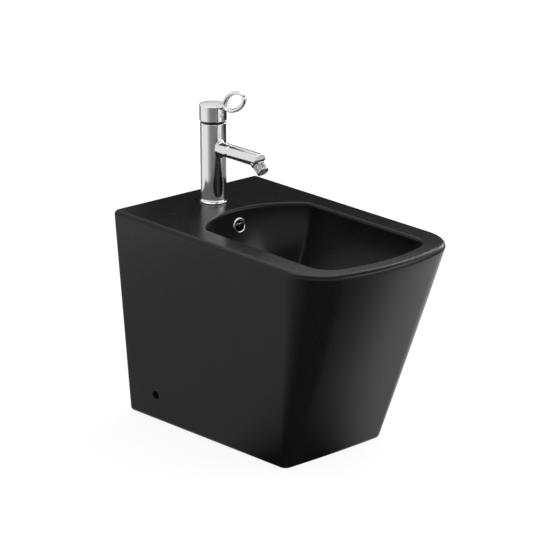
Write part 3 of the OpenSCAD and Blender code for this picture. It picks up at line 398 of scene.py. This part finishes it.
def ceramic():
    """The glazed body: outside, rim, basin, drain and the hollow under them, as one closed skin."""
    rings = [body_ring(0, WALL), body_ring(0, BOTTOM_R + 2)]
    for i in range(9):
        a = math.radians(90 - 90 * i / 8)
        rings.append(body_ring(BOTTOM_R * (1 - math.sin(a)), BOTTOM_R * (1 - math.cos(a))))
    low, high = BOTTOM_R, BODY_H - TOP_R
    rings += [body_ring(mix(low, high, i / 30), 0) for i in range(1, 31)]
    for i in range(1, 10):
        a = math.radians(90 * i / 9)
        rings.append(body_ring(BODY_H - TOP_R * (1 - math.sin(a)), TOP_R * (1 - math.cos(a))))
    # A narrow flat band beside each rounding keeps the deck flat in reflections
    rings.append(body_ring(BODY_H, TOP_R + 1.5))
    rings.append([(x, y, BODY_H) for x, y in whole(basin_half(1.5))])
    for i in range(9):
        a = math.radians(90 * i / 8)
        outline = whole(basin_half(-LIP_R * math.sin(a)))
        rings.append([(x, y, WALL_TOP + LIP_R * math.cos(a)) for x, y in outline])
    wall = wall_rings(0, 0, RECESS_R, 30)
    rings += wall[1:]
    rings += [flat_ring(wall[-1], RECESS_R, RECESS_Z + 1), flat_ring(wall[-1], RECESS_R - 1, RECESS_Z),
              flat_ring(wall[-1], DRAIN_R, RECESS_Z), flat_ring(wall[-1], DRAIN_R, PAD_Z),
              flat_ring(wall[-1], PAD_R, PAD_Z)]
    top = math.asin((WALL_TOP - (BODY_H - DECK)) / (BASIN_DEPTH - LIP_R + SHELL))
    rings += list(reversed(wall_rings(SHELL, SHELL, PAD_R, 12, top)))
    rings += [body_ring(BODY_H - DECK, WALL)]
    rings += [body_ring(mix(BODY_H - DECK, 0, i / 6), WALL) for i in range(1, 6)]
    body = loft("body_shell", rings, closed=True)

    # Overflow channel behind the basin and bosses round the side holes
    w = CHANNEL_W
    back = CHANNEL_Y + w / 2
    step = CHANNEL_STEP
    blocks = [box("b", (-w / 2, CHANNEL_FRONT_Y, PAD_Z), (w / 2, back, BODY_H - DECK + 1)),
              box("b", (-w / 2 + step, PASSAGE_FRONT_Y, PAD_Z + step),
                  (w / 2 - step, back - step, PASSAGE_Z + 6))]
    boss = [(0, SIDE_BOSS_FROM), (SIDE_BOSS_R, SIDE_BOSS_FROM), (SIDE_BOSS_R, SIDE_HOLE_L), (0, SIDE_HOLE_L)]
    blocks.append(join([lathe("b", boss, side_hole(s), 64) for s in (-1, 1)]))
    for b in blocks:
        cut(body, b, "UNION")

    # Both side holes are cut at once, each with a rounded mouth
    mouth = SIDE_HOLE_R + SIDE_MOUTH_R
    profile = [(0, -10), (mouth, -10)]
    for i in range(7):
        a = math.pi / 2 * i / 6
        profile.append((mouth - SIDE_MOUTH_R * math.sin(a), SIDE_MOUTH_END - SIDE_MOUTH_R * math.cos(a)))
    profile += [(SIDE_HOLE_R, SIDE_HOLE_L + 2), (0, SIDE_HOLE_L + 2)]
    tools = [join([lathe("t", profile, side_hole(s), 96) for s in (-1, 1)])]
    tools.append(lathe("t", [(0, -DECK - 2), (TAP_HOLE_R, -DECK - 2), (TAP_HOLE_R, 1), (0, 1)],
                       place((0, TAP_Y, BODY_H)), 96))
    profile = [(0, -OVERFLOW_HOLE_L), (OVERFLOW_HOLE_R, -OVERFLOW_HOLE_L), (OVERFLOW_HOLE_R, -0.001),
               (OVERFLOW_SEAT_R, 0), (OVERFLOW_SEAT_R, OVERFLOW_SEAT_L), (0, OVERFLOW_SEAT_L)]
    tools.append(lathe("t", profile, place((0, OVERFLOW_Y, OVERFLOW_Z), math.pi / 2 - OVERFLOW_SLOPE), 96))
    tools.append(box("t", (-WINDOW_W / 2, REAR_Y - 2 * WALL, -1), (WINDOW_W / 2, REAR_Y + WALL, WINDOW_H)))
    profile = [(0, PASSAGE_Z), (PASSAGE_R, PASSAGE_Z), (PASSAGE_R, PASSAGE_TOP), (0, PASSAGE_TOP)]
    tools.append(lathe("t", profile, place((0, CHANNEL_Y, 0)), 64))
    for t in tools:
        cut(body, t)
    weld(body)
    return polish(body, 35)


body_shell = ceramic()
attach(body_shell, "basin")
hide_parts("ceramic_body")
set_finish(body_shell, "black_ceramic")


def tube_ring(radius, y, n):
    """Ring about the spout's axis at a distance towards the front from the tap's axis."""
    turns = [2 * math.pi * i / n for i in range(n)]
    return [(radius * math.sin(a), TAP_Y - y, SPOUT_Z + radius * math.cos(a)) for a in turns]


def spout_root(n=144, steps=12):
    """Rolling-ball blend from the tap's round body into the stub of the spout, up to the seam."""
    rings = []
    reach = TAP_R + ROOT_R
    for k in range(steps + 1):
        ring = []
        for i in range(n):
            f = 2 * math.pi * i / n
            cx = (SPOUT_R + ROOT_R) * math.sin(f)
            cz = (SPOUT_R + ROOT_R) * math.cos(f)
            cy = math.sqrt(reach ** 2 - cx * cx)
            on_body = Vector((cx * TAP_R / reach - cx, cy * TAP_R / reach - cy, 0)).normalized()
            on_tube = Vector((-math.sin(f), 0, -math.cos(f)))
            whole_turn = on_body.angle(on_tube)
            t = k / steps
            d = on_body * math.sin((1 - t) * whole_turn) + on_tube * math.sin(t * whole_turn)
            d = d / math.sin(whole_turn)
            ring.append((cx + d.x * ROOT_R, TAP_Y - (cy + d.y * ROOT_R), SPOUT_Z + cz + d.z * ROOT_R))
        rings.append(ring)
    # The first ring goes on into the body, so that the blend has no open edge
    inner = [(x * 0.9, TAP_Y + (y - TAP_Y) * 0.9, z) for x, y, z in rings[0]]
    rings = [inner] + rings
    last = rings[-1]
    for q in (0.35, 0.7, 1.0):
        rings.append([(x, mix(y, TAP_Y - SEAM + 0.35, q), z) for x, y, z in last])
    for radius, y in ((SPOUT_R - 0.1, SEAM - 0.1), (SPOUT_R - 0.4, SEAM), (SPOUT_BORE_R, SEAM)):
        rings.append(tube_ring(radius, y, n))
    return loft("spout_root_shell", rings, sharp=40)


def tap_body():
    """Turned body with its flared foot, its open top and the hose holes from below."""
    e = TAP_FOOT_EDGE_R
    profile = [(0, BODY_H), (TAP_FOOT_R - e, BODY_H)] + arc(TAP_FOOT_R - e, BODY_H + e, e, -90, 0, 4)
    profile.append((TAP_FOOT_R, BODY_H + TAP_FOOT_BAND))
    n = 14
    for i in range(1, n + 1):
        a = math.radians(90 * i / n)
        profile.append((TAP_FOOT_R - (TAP_FOOT_R - TAP_R) * math.sin(a),
                        BODY_H + TAP_FOOT_H - TAP_FLARE_H * math.cos(a)))
    profile += [(TAP_R, z) for z in range(412, 546, 3)]
    profile += arc(TAP_R - TAP_EDGE_R, TAP_TOP - TAP_EDGE_R, TAP_EDGE_R, 0, 90, 12)
    profile += [(NECK_SEAT_R, TAP_TOP), (CARTRIDGE_SEAT_R, TAP_TOP - 0.3),
                (CARTRIDGE_SEAT_R, CARTRIDGE_SEAT_Z), (0, CARTRIDGE_SEAT_Z)]
    body = lathe("tap_body_shell", profile, place((0, TAP_Y, 0)), 256)
    for x, y, radius, depth in ((-9, 6, 7, 12), (9, 6, 7, 12), (0, -11, 4, 10)):
        bore = [(0, -2), (radius, -2), (radius, depth), (0, depth)]
        cut(body, lathe("t", bore, place((x, TAP_Y + y, BODY_H)), 48))
    return polish(body, 32)


def aerator_place(t):
    """Matrix with +Z along the aerator's axis, t beyond the spout's axis."""
    m = Matrix.Translation((0, TAP_Y - REACH + AERATOR_BACK, SPOUT_Z))
    return m @ Matrix.Rotation(math.pi / 2 + TILT, 4, "X") @ Matrix.Translation((0, 0, t))


def spout():
    """Spout from the seam to its front face, with the aerator's collar under its end."""
    r, l = SPOUT_R, REACH - SEAM
    profile = [(0, 0), (r - 0.4, 0)] + arc(r - 0.3, 0.3, 0.3, -90, 0, 3)
    profile += [(r, z) for z in range(6, 72, 6)]
    profile += arc(r - SPOUT_EDGE_R, l - SPOUT_EDGE_R, SPOUT_EDGE_R, 0, 90, 8) + [(0, l)]
    at_spout = Matrix.Translation((0, TAP_Y - SEAM, SPOUT_Z)) @ Matrix.Rotation(math.pi / 2, 4, "X")
    tube = lathe("spout_shell", profile, at_spout, 224)
    top = COLLAR_END + 2
    collar = [(0, -2), (COLLAR_R - 3, -2), (COLLAR_R, 1), (COLLAR_R, top), (0, top)]
    cut(tube, lathe("t", collar, aerator_place(0), 192), "UNION")
    socket = [(0, -4.3), (SOCKET_R, -4.3), (SOCKET_R, RETAINER_AT), (RETAINER_R, RETAINER_AT),
              (RETAINER_R, COLLAR_END), (17, COLLAR_END), (17, 50), (0, 50)]
    cut(tube, lathe("t", socket, aerator_place(0), 96))
    weld(tube)
    return polish(tube, 28)


def aerator_housing():
    """Short sleeve with a band of fine upright grooves between two plain edges."""
    n = GROOVES * 8
    l = AERATOR_END - HOUSING_AT
    e = HOUSING_EDGE_R
    outer = arc(HOUSING_R - e, e, e, -90, 0, 5) + [(HOUSING_R, 2.6)]
    band = [(HOUSING_R, 3.0, 0.0), (HOUSING_R, 3.4, 1.0)]
    band += [(HOUSING_R, 3.4 + (l - 6.8) * i / 10, 1.0) for i in range(1, 11)]
    band += [(HOUSING_R, l - 3.0, 0.0)]
    rows = [(HOUSING_BACK_R, 0.0, 0.0)] + [(a, b, 0.0) for a, b in outer] + band + [(HOUSING_R, l - 2.6, 0.0)]
    rows += [(a, b, 0.0) for a, b in arc(HOUSING_R - e, l - e, e, 0, 90, 5)]
    rows += [(HOUSING_BORE_R + 0.3, l, 0.0), (HOUSING_BORE_R, l - 0.3, 0.0),
             (HOUSING_BORE_R, HOUSING_REST_Z, 0.0), (HOUSING_BACK_R, HOUSING_REST_Z, 0.0)]
    rings = []
    for r, z, groove in rows:
        ring = []
        for i in range(n):
            a = 2 * math.pi * i / n
            wave = 0.5 - 0.5 * math.cos(GROOVES * a)
            rr = r - groove * GROOVE_DEPTH * wave ** GROOVE_POWER
            ring.append((rr * math.cos(a), rr * math.sin(a), z))
        rings.append(ring)
    verts = [aerator_place(HOUSING_AT) @ Vector(p) for ring in rings for p in ring]
    faces = []
    m = len(rings)
    for k in range(m):
        a, b = k * n, ((k + 1) % m) * n
        faces += [(a + i, a + (i + 1) % n, b + (i + 1) % n, b + i) for i in range(n)]
    return build("aerator_shell", verts, faces, None, 45)


def handle_cap():
    """Turned cap with rounded edges, open below round the neck."""
    bore = NECK_R + 0.3
    profile = [(0, CAP_Z + 9), (bore - 0.3, CAP_Z + 9), (bore, CAP_Z + 8.7)]
    profile += [(bore, CAP_Z + 0.15), (bore + 0.15, CAP_Z)]
    profile += arc(CAP_R - TAP_EDGE_R, CAP_Z + TAP_EDGE_R, TAP_EDGE_R, -90, 0, 12)
    profile += [(CAP_R, mix(CAP_Z + TAP_EDGE_R, CAP_TOP - CAP_EDGE_R, i / 8)) for i in range(1, 9)]
    profile += arc(CAP_R - CAP_EDGE_R, CAP_TOP - CAP_EDGE_R, CAP_EDGE_R, 0, 90, 6)[1:]
    profile += [(r, CAP_TOP) for r in (21, 16, 10, 5, 0)]
    return lathe("handle_cap_shell", profile, place((0, TAP_Y, 0)), 256)


def neck_ring():
    """Domed ring in the gap, part of a sphere about the lever's pivot; its black finish stands in for the
    shade in the gap under the cap.
    """
    profile = [(NECK_SEAT_R, TAP_TOP), (NECK_R, TAP_TOP), (NECK_R, TAP_TOP + 1)]
    for i in range(17):
        z = mix(NECK_LOW, NECK_HIGH, i / 16)
        profile.append((math.sqrt(NECK_SPHERE_R ** 2 - z * z), PIVOT_Z + z))
    ledge = TAP_TOP + NECK_LEDGE
    profile += [(NECK_BORE_R, PIVOT_Z + NECK_HIGH), (NECK_BORE_R, ledge), (NECK_SEAT_R, ledge)]
    return lathe("neck_ring_shell", profile, place((0, TAP_Y, 0)), 192, closed=True)


def loop_lever():
    """Oval loop in the middle plane; its rod widens to a strap where it grows out of the cap."""
    at = Matrix.Translation((0, LOOP_Y, LOOP_Z)) @ Matrix.Rotation(-LOOP_RISE, 4, "X")
    n, m = 48, 200
    verts, faces = [], []
    for k in range(m):
        t = 2 * math.pi * k / m
        c = Vector((LOOP_A * math.cos(t), LOOP_B * math.sin(t)))
        nn = Vector((LOOP_B * math.cos(t), LOOP_A * math.sin(t))).normalized()
        wide = ROD_R + ROOT_EXTRA / 2 * ((1 - math.cos(t)) / 2) ** 2
        for i in range(n):
            s = 2 * math.pi * i / n
            p = c + nn * ROD_R * math.cos(s)
            verts.append(at @ Vector((wide * math.sin(s), -p.x, p.y)))
    for k in range(m):
        for i in range(n):
            a, b = k * n + i, k * n + (i + 1) % n
            c, d = ((k + 1) % m) * n + (i + 1) % n, ((k + 1) % m) * n + i
            faces.append((a, c, b))
            faces.append((a, d, c))
    loop = build("loop_lever_shell", verts, faces)
    here = at @ Vector((0, LOOP_A - 1, 0))
    low = Vector((0, TAP_Y - CAP_R + 4, CAP_TOP - 1.5))
    pts = []
    for c, (rx, ry, rz) in ((here, (5.75, 5, 5)), (low, (7.8, 6.5, 5.85))):
        for j in range(25):
            b = -math.pi / 2 + math.pi * j / 24
            for i in range(48):
                a = 2 * math.pi * i / 48
                level = math.cos(b)
                on = Vector((rx * level * math.cos(a), ry * level * math.sin(a), rz * math.sin(b)))
                pts.append(tuple((c + on) * MM))
    mesh = bpy.data.meshes.new("root")
    mesh.from_pydata(pts, [], [])
    bm = bmesh.new()
    bm.from_mesh(mesh)
    bmesh.ops.remove_doubles(bm, verts=bm.verts, dist=1e-6)
    hull = bmesh.ops.convex_hull(bm, input=bm.verts)
    inside = [e for e in hull["geom_interior"] if isinstance(e, bmesh.types.BMVert)]
    bmesh.ops.delete(bm, geom=inside, context="VERTS")
    bm.to_mesh(mesh)
    bm.free()
    root = bpy.data.objects.new("root", mesh)
    bpy.context.scene.collection.objects.link(root)
    join([loop, root])
    v = loop.modifiers.new("skin", "REMESH")
    v.mode = "VOXEL"
    v.voxel_size = 0.45 * MM
    s = loop.modifiers.new("soften", "SMOOTH")
    s.factor = 0.5
    s.iterations = 10
    bpy.context.view_layer.update()
    apply_modifiers(loop)
    loop.data.polygons.foreach_set("use_smooth", [True] * len(loop.data.polygons))
    return loop


def screw_cover():
    """Small rounded plug in the cap's front, below the lever."""
    at = Matrix.Translation((0, TAP_Y, COVER_Z)) @ Matrix.Rotation(math.pi / 2, 4, "X") \
        @ Matrix.Translation((0, 0, CAP_R - 3.2))
    e = COVER_EDGE_R
    profile = [(0, 0), (COVER_R, 0), (COVER_R, COVER_H - e)]
    profile += arc(COVER_R - e, COVER_H - e, e, 0, 90, 6)[1:] + [(0, COVER_H)]
    return lathe("screw_cover_shell", profile, at, 96)


tap_pieces = [
    (tap_body(), "basin", "tap_body", "chrome"),
    (spout_root(), "basin", None, "chrome"),
    (spout(), "basin", "spout", "chrome"),
    (aerator_housing(), "aerator", "aerator_housing", "knurled_chrome"),
    (handle_cap(), "handle", "handle_cap", "chrome"),
    (loop_lever(), "handle", "loop_lever", "chrome"),
    (screw_cover(), "handle", "screw_cover", "chrome"),
    # The neck ring's black finish is painted shade for the gap under the cap
    (neck_ring(), "basin", "neck_ring", "black_plastic"),
]
for piece, body, node, slot in tap_pieces:
    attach(piece, body)
    if node:
        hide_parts(node)
    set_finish(piece, slot)


def overflow_ring():
    """Turned ring with a sleeve into the ceramic and one straight bar across its bore."""
    at = place((0, OVERFLOW_Y, OVERFLOW_Z), math.pi / 2 - OVERFLOW_SLOPE)
    sleeve, flange = OVERFLOW_SLEEVE_R, OVERFLOW_RING_R
    profile = [(OVERFLOW_BORE_R, -OVERFLOW_SLEEVE_L), (sleeve, -OVERFLOW_SLEEVE_L), (sleeve, 0), (flange, 0)]
    profile += arc(flange - 0.9, 1.5, 0.9, 0, 90, 6)
    profile += [(11.6, 2.4)] + arc(11.4, 1.0, 1.4, 90, 180, 6)
    ring = lathe("overflow_ring_shell", profile, at, 160, closed=True)
    bar = bevel(box("bar", (-11, 2, -4), (11, 4.4, -0.4), at), 0.35, 3)
    return join([ring, bar])


def waste_plug():
    """Domed plug over the waste."""
    dome = []
    for i in range(25):
        share = 1 - i / 24
        dome.append((PLUG_R * share, PLUG_RIM + PLUG_DOME * math.sqrt(1 - share ** 2)))
    profile = [(0, 0), (29.2, 0)] + arc(29.4, 0.6, 0.6, -90, 0, 3) + dome
    return lathe("waste_plug_shell", profile, place((0, DRAIN_Y, PLUG_Z)), 192)


overflow = overflow_ring()
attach(overflow, "basin")
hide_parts("overflow_ring")
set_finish(overflow, "chrome")
plug = waste_plug()
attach(plug, "plug")
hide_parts("waste_plug")
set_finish(plug, "chrome")


def material(name, dark, light, rough, metallic=0.0, scale=60.0, bump=0.0, bump_scale=900.0,
             stretch=(1, 1, 1), specular=0.5):
    """Procedural finish: colour and roughness each vary between two values, with a fine relief."""
    detail = 4.0
    mat = bpy.data.materials.new(name)
    mat.use_nodes = True
    nt = mat.node_tree
    nt.nodes.clear()
    out = nt.nodes.new("ShaderNodeOutputMaterial")
    bsdf = nt.nodes.new("ShaderNodeBsdfPrincipled")
    nt.links.new(bsdf.outputs["BSDF"], out.inputs["Surface"])
    bsdf.inputs["Metallic"].default_value = metallic
    bsdf.inputs["IOR"].default_value = 1.5
    bsdf.inputs["Specular IOR Level"].default_value = specular
    coord = nt.nodes.new("ShaderNodeTexCoord")
    mapping = nt.nodes.new("ShaderNodeMapping")
    mapping.inputs["Scale"].default_value = stretch
    nt.links.new(coord.outputs["Object"], mapping.inputs["Vector"])

    def noise(size, octaves):
        n = nt.nodes.new("ShaderNodeTexNoise")
        n.inputs["Scale"].default_value = size
        n.inputs["Detail"].default_value = octaves
        nt.links.new(mapping.outputs["Vector"], n.inputs["Vector"])
        return n

    broad = noise(scale, detail)
    ramp = nt.nodes.new("ShaderNodeValToRGB")
    ramp.color_ramp.elements[0].position = 0.3
    ramp.color_ramp.elements[1].position = 0.7
    ramp.color_ramp.elements[0].color = (*dark, 1)
    ramp.color_ramp.elements[1].color = (*light, 1)
    nt.links.new(broad.outputs["Fac"], ramp.inputs["Fac"])
    nt.links.new(ramp.outputs["Color"], bsdf.inputs["Base Color"])
    fine = noise(scale * 5, detail)
    span = nt.nodes.new("ShaderNodeMapRange")
    span.inputs["From Min"].default_value = 0.3
    span.inputs["From Max"].default_value = 0.7
    span.inputs["To Min"].default_value = rough[0]
    span.inputs["To Max"].default_value = rough[1]
    nt.links.new(fine.outputs["Fac"], span.inputs["Value"])
    nt.links.new(span.outputs["Result"], bsdf.inputs["Roughness"])
    if bump:
        relief = noise(bump_scale, 3.0)
        b = nt.nodes.new("ShaderNodeBump")
        b.inputs["Strength"].default_value = bump
        b.inputs["Distance"].default_value = 0.0002
        nt.links.new(relief.outputs["Fac"], b.inputs["Height"])
        nt.links.new(b.outputs["Normal"], bsdf.inputs["Normal"])
    return mat


def grey(v, tint=(1, 1, 1)):
    """Grey of a brightness, with an optional tint."""
    return tuple(v * t for t in tint)


finishes = {
    "black_ceramic": material("glazed_black", (0.0060, 0.0060, 0.0066), (0.0080, 0.0080, 0.0088),
                              (0.23, 0.28), scale=9, bump=0.015, bump_scale=260, specular=0.18),
    "chrome": material("chrome_plate", grey(0.70, (1, 1, 1.01)), grey(0.74, (1, 1, 1.01)), (0.09, 0.13),
                       metallic=1.0, scale=40),
    # The knurl's chrome is a darker copy of the chrome: painted shade for its fine grooves
    "knurled_chrome": material("chrome_knurl_painted_shade", grey(0.28), grey(0.46), (0.2, 0.32), metallic=1.0, scale=300),
    "steel": material("brushed_steel", grey(0.46), grey(0.55), (0.28, 0.42), metallic=1.0, scale=80,
                      stretch=(1, 1, 14), bump=0.1),
    "brass": material("turned_brass", (0.56, 0.40, 0.16), (0.68, 0.50, 0.22), (0.24, 0.38),
                      metallic=1.0, scale=90, stretch=(1, 1, 10), bump=0.1),
    "rubber": material("sealing_rubber", grey(0.012), grey(0.022), (0.62, 0.78),
                       scale=160, bump=0.3, bump_scale=1500),
    "white_plastic": material("acetal_white", grey(0.68, (1, 0.99, 0.96)), grey(0.76, (1, 0.99, 0.96)),
                              (0.38, 0.5), scale=120, bump=0.1, bump_scale=1200),
    "grey_plastic": material("glass_filled_grey", grey(0.20), grey(0.27), (0.45, 0.6), scale=200, bump=0.2,
                             bump_scale=1400),
    "black_plastic": material("moulded_black", grey(0.006), grey(0.012), (0.22, 0.34), scale=150, bump=0.15,
                              bump_scale=1300),
    "technical_ceramic": material("ground_alumina", grey(0.80, (1, 0.99, 0.95)), grey(0.86, (1, 0.99, 0.95)),
                                  (0.14, 0.24), scale=140),
}



# Piece finishes: CAD nodes keep their shape and take the procedural finish of their slot
node_slots = {part["node"]: part["material_slot"] for part in frame["record"]["subparts"]}
for name, obj in frame["nodes"].items():
    finish = finishes[node_slots[name]]
    obj.data.materials.clear()
    obj.data.materials.append(finish)
    for s in obj.material_slots:
        s.material = finish
for obj in bpy.data.objects:
    if obj.type == "MESH" and "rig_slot" in obj:
        obj.data.materials.clear()
        obj.data.materials.append(finishes[obj["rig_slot"]])


def stage_material(name, value, seen, share=0.85):
    """Diffuse surface that camera, glossy and transmission rays see mostly as a plain brightness."""
    mat = bpy.data.materials.new(name)
    mat.use_nodes = True
    nt = mat.node_tree
    nt.nodes.clear()
    out = nt.nodes.new("ShaderNodeOutputMaterial")
    diffuse = nt.nodes.new("ShaderNodeBsdfDiffuse")
    diffuse.inputs["Color"].default_value = (value, value, value, 1)
    glow = nt.nodes.new("ShaderNodeEmission")
    glow.inputs["Strength"].default_value = seen
    path = nt.nodes.new("ShaderNodeLightPath")
    a = nt.nodes.new("ShaderNodeMath")
    a.operation = "MAXIMUM"
    b = nt.nodes.new("ShaderNodeMath")
    b.operation = "MAXIMUM"
    scale = nt.nodes.new("ShaderNodeMath")
    scale.operation = "MULTIPLY"
    scale.inputs[1].default_value = share
    nt.links.new(path.outputs["Is Camera Ray"], a.inputs[0])
    nt.links.new(path.outputs["Is Glossy Ray"], a.inputs[1])
    nt.links.new(a.outputs[0], b.inputs[0])
    nt.links.new(path.outputs["Is Transmission Ray"], b.inputs[1])
    nt.links.new(b.outputs[0], scale.inputs[0])
    mixer = nt.nodes.new("ShaderNodeMixShader")
    nt.links.new(scale.outputs[0], mixer.inputs["Fac"])
    nt.links.new(diffuse.outputs[0], mixer.inputs[1])
    nt.links.new(glow.outputs[0], mixer.inputs[2])
    nt.links.new(mixer.outputs[0], out.inputs["Surface"])
    return mat


def plane(name, centre, size, normal, mat):
    """Rectangle facing along a normal, in metres."""
    w, h = size[0] / 2, size[1] / 2
    mesh = bpy.data.meshes.new(name)
    mesh.from_pydata([(-w, -h, 0), (w, -h, 0), (w, h, 0), (-w, h, 0)], [], [(0, 1, 2, 3)])
    obj = bpy.data.objects.new(name, mesh)
    bpy.context.scene.collection.objects.link(obj)
    obj.rotation_euler = Vector(normal).to_track_quat("Z", "Y").to_euler()
    obj.location = centre
    mesh.materials.append(mat)


def card(name, verts, faces, levels):
    """Glowing card that only reflections see, a painted reflection with its own brightness at each corner of
    the mesh.
    """
    mesh = bpy.data.meshes.new(name)
    mesh.from_pydata(verts, [], faces)
    shade = mesh.color_attributes.new("level", "FLOAT_COLOR", "POINT")
    for i, level in enumerate(levels):
        shade.data[i].color = (level, level, level, 1)
    mat = bpy.data.materials.new(name)
    mat.use_nodes = True
    nt = mat.node_tree
    nt.nodes.clear()
    out = nt.nodes.new("ShaderNodeOutputMaterial")
    glow = nt.nodes.new("ShaderNodeEmission")
    level = nt.nodes.new("ShaderNodeAttribute")
    level.attribute_name = "level"
    nt.links.new(level.outputs["Color"], glow.inputs["Color"])
    nt.links.new(glow.outputs[0], out.inputs["Surface"])
    mesh.materials.append(mat)
    obj = bpy.data.objects.new(name, mesh)
    bpy.context.scene.collection.objects.link(obj)
    obj.visible_camera = False
    obj.visible_diffuse = False
    obj.visible_shadow = False
    obj.visible_transmission = False


def at_stops(stops, angle):
    """Brightness at an angle between the nearest two stops."""
    for (a0, v0), (a1, v1) in zip(stops, stops[1:]):
        if angle <= a1:
            return mix(v0, v1, (angle - a0) / (a1 - a0))
    return stops[-1][1]


def curved_card(name, stops, inner, outer):
    """Painted-reflection card along an arc round the object, between two lines given as distance and height.

    The stops give degrees from the front towards +X, and the brightness there.
    """
    n = 96
    verts, levels = [], []
    for distance, height in (inner, outer):
        for i in range(n + 1):
            angle = mix(stops[0][0], stops[-1][0], i / n)
            turn = math.radians(angle)
            verts.append((distance * math.sin(turn), -distance * math.cos(turn), height))
            levels.append(at_stops(stops, angle))
    card(name, verts, [(i, i + 1, i + n + 2, i + n + 1) for i in range(n)], levels)


def lamp(name, location, target, size, power):
    """Area lamp aimed at a point."""
    data = bpy.data.lights.new(name, "AREA")
    data.shape = "RECTANGLE"
    data.size, data.size_y = size
    data.energy = power
    obj = bpy.data.objects.new(name, data)
    bpy.context.scene.collection.objects.link(obj)
    obj.location = location
    obj.rotation_euler = (Vector(target) - Vector(location)).to_track_quat("-Z", "Y").to_euler()


plane("floor", (0, 0, 0), (60, 60), (0, 0, 1), stage_material("pale_floor", 0.93, 1.05))

# White world for camera, glossy and transmission rays, and a softer fill on the object
world = bpy.data.worlds.new("studio")
bpy.context.scene.world = world
world.use_nodes = True
wt = world.node_tree
wt.nodes.clear()
w_out = wt.nodes.new("ShaderNodeOutputWorld")
w_white = wt.nodes.new("ShaderNodeBackground")
w_white.inputs["Color"].default_value = (1, 1, 1, 1)
w_white.inputs["Strength"].default_value = 1.0
w_fill = wt.nodes.new("ShaderNodeBackground")
w_fill.inputs["Color"].default_value = (1, 1, 1, 1)
w_fill.inputs["Strength"].default_value = 0.44
w_path = wt.nodes.new("ShaderNodeLightPath")
w_direct = wt.nodes.new("ShaderNodeMath")
w_direct.operation = "MAXIMUM"
w_seen = wt.nodes.new("ShaderNodeMath")
w_seen.operation = "MAXIMUM"
w_mix = wt.nodes.new("ShaderNodeMixShader")
wt.links.new(w_path.outputs["Is Camera Ray"], w_direct.inputs[0])
wt.links.new(w_path.outputs["Is Glossy Ray"], w_direct.inputs[1])
wt.links.new(w_direct.outputs[0], w_seen.inputs[0])
wt.links.new(w_path.outputs["Is Transmission Ray"], w_seen.inputs[1])
wt.links.new(w_seen.outputs[0], w_mix.inputs["Fac"])
wt.links.new(w_fill.outputs[0], w_mix.inputs[1])
wt.links.new(w_white.outputs[0], w_mix.inputs[2])
wt.links.new(w_mix.outputs[0], w_out.inputs["Surface"])

# Painted reflections: glowing cards round the object that only reflections see, as a tent with open white
# gaps between them
TENT_R = 1.05
SIDE_TOP = 0.42
curved_card("rear_flag", [(80, 0.12), (100, 0.03), (170, 0.03), (186, 0.3)], (0.52, 0.38), (0.52, 0.665))
curved_card("camera_side_flag", [(-106, 0.95), (-99, 0.7), (-90, 0.5), (-80, 0.36), (-70, 0.25), (-20, 0.24),
                                 (-10, 0.32), (-4, 0.2), (-2, 0.02), (1, 0.02), (3, 0.5), (8, 0.95)],
            (TENT_R, 0.0), (TENT_R, 0.45))
curved_card("right_flag", [(38, 0.95), (45, 0.6), (54, 0.26), (104, 0.28), (125, 0.3)],
            (TENT_R, 0.0), (TENT_R, SIDE_TOP))
curved_card("left_edge_flag", [(-200, 0.2), (-172, 0.25), (-163, 0.9)], (TENT_R, 0.0), (TENT_R, SIDE_TOP))
# This card lies on the white floor and paints a dark reflection of it on the camera's side
curved_card("floor_flag", [(-178, 0.7), (-105, 0.6), (-82, 0.3), (-62, 0.03), (-12, 0.02), (5, 0.2),
                           (20, 0.52), (38, 0.95)], (0.02, 0.001), (TENT_R, 0.001))
curved_card("high_flag", [(-112, 0.8), (-92, 0.2), (-75, 0.05), (40, 0.05), (62, 0.2), (80, 0.8)],
            (0.95, 1.12), (0.4, 1.45))

lamp("key", (2.2, -3.2, 3.4), (0, 0, 0.3), (4.2, 3.4), 120)
lamp("side", (3.3, 1.2, 1.75), (0, 0, 0.3), (2.4, 1.8), 60)
lamp("top", (0.0, 0.4, 3.6), (0, 0.1, 0.3), (4.0, 4.0), 70)

# Camera at the photograph's viewpoint
CAMERA_AT = (-2.81305, -3.17255, 1.73345)
SENSOR, LENS, FAR = 36, 160.31, 100
azimuth, elevation = math.radians(-41.37), math.radians(18.70)
back = Vector((math.sin(azimuth) * math.cos(elevation), -math.cos(azimuth) * math.cos(elevation),
               math.sin(elevation)))
right = Vector((math.cos(azimuth), math.sin(azimuth), 0))
up = back.cross(right)
cam = bpy.data.cameras.new("camera")
cam.sensor_width = SENSOR
cam.lens = LENS
cam.clip_end = FAR
cam_obj = bpy.data.objects.new("camera", cam)
bpy.context.scene.collection.objects.link(cam_obj)
cam_obj.matrix_world = Matrix.Translation(CAMERA_AT) @ Matrix((right, up, back)).transposed().to_4x4()
bpy.context.scene.camera = cam_obj
bpy.context.scene.view_settings.view_transform = "Standard"
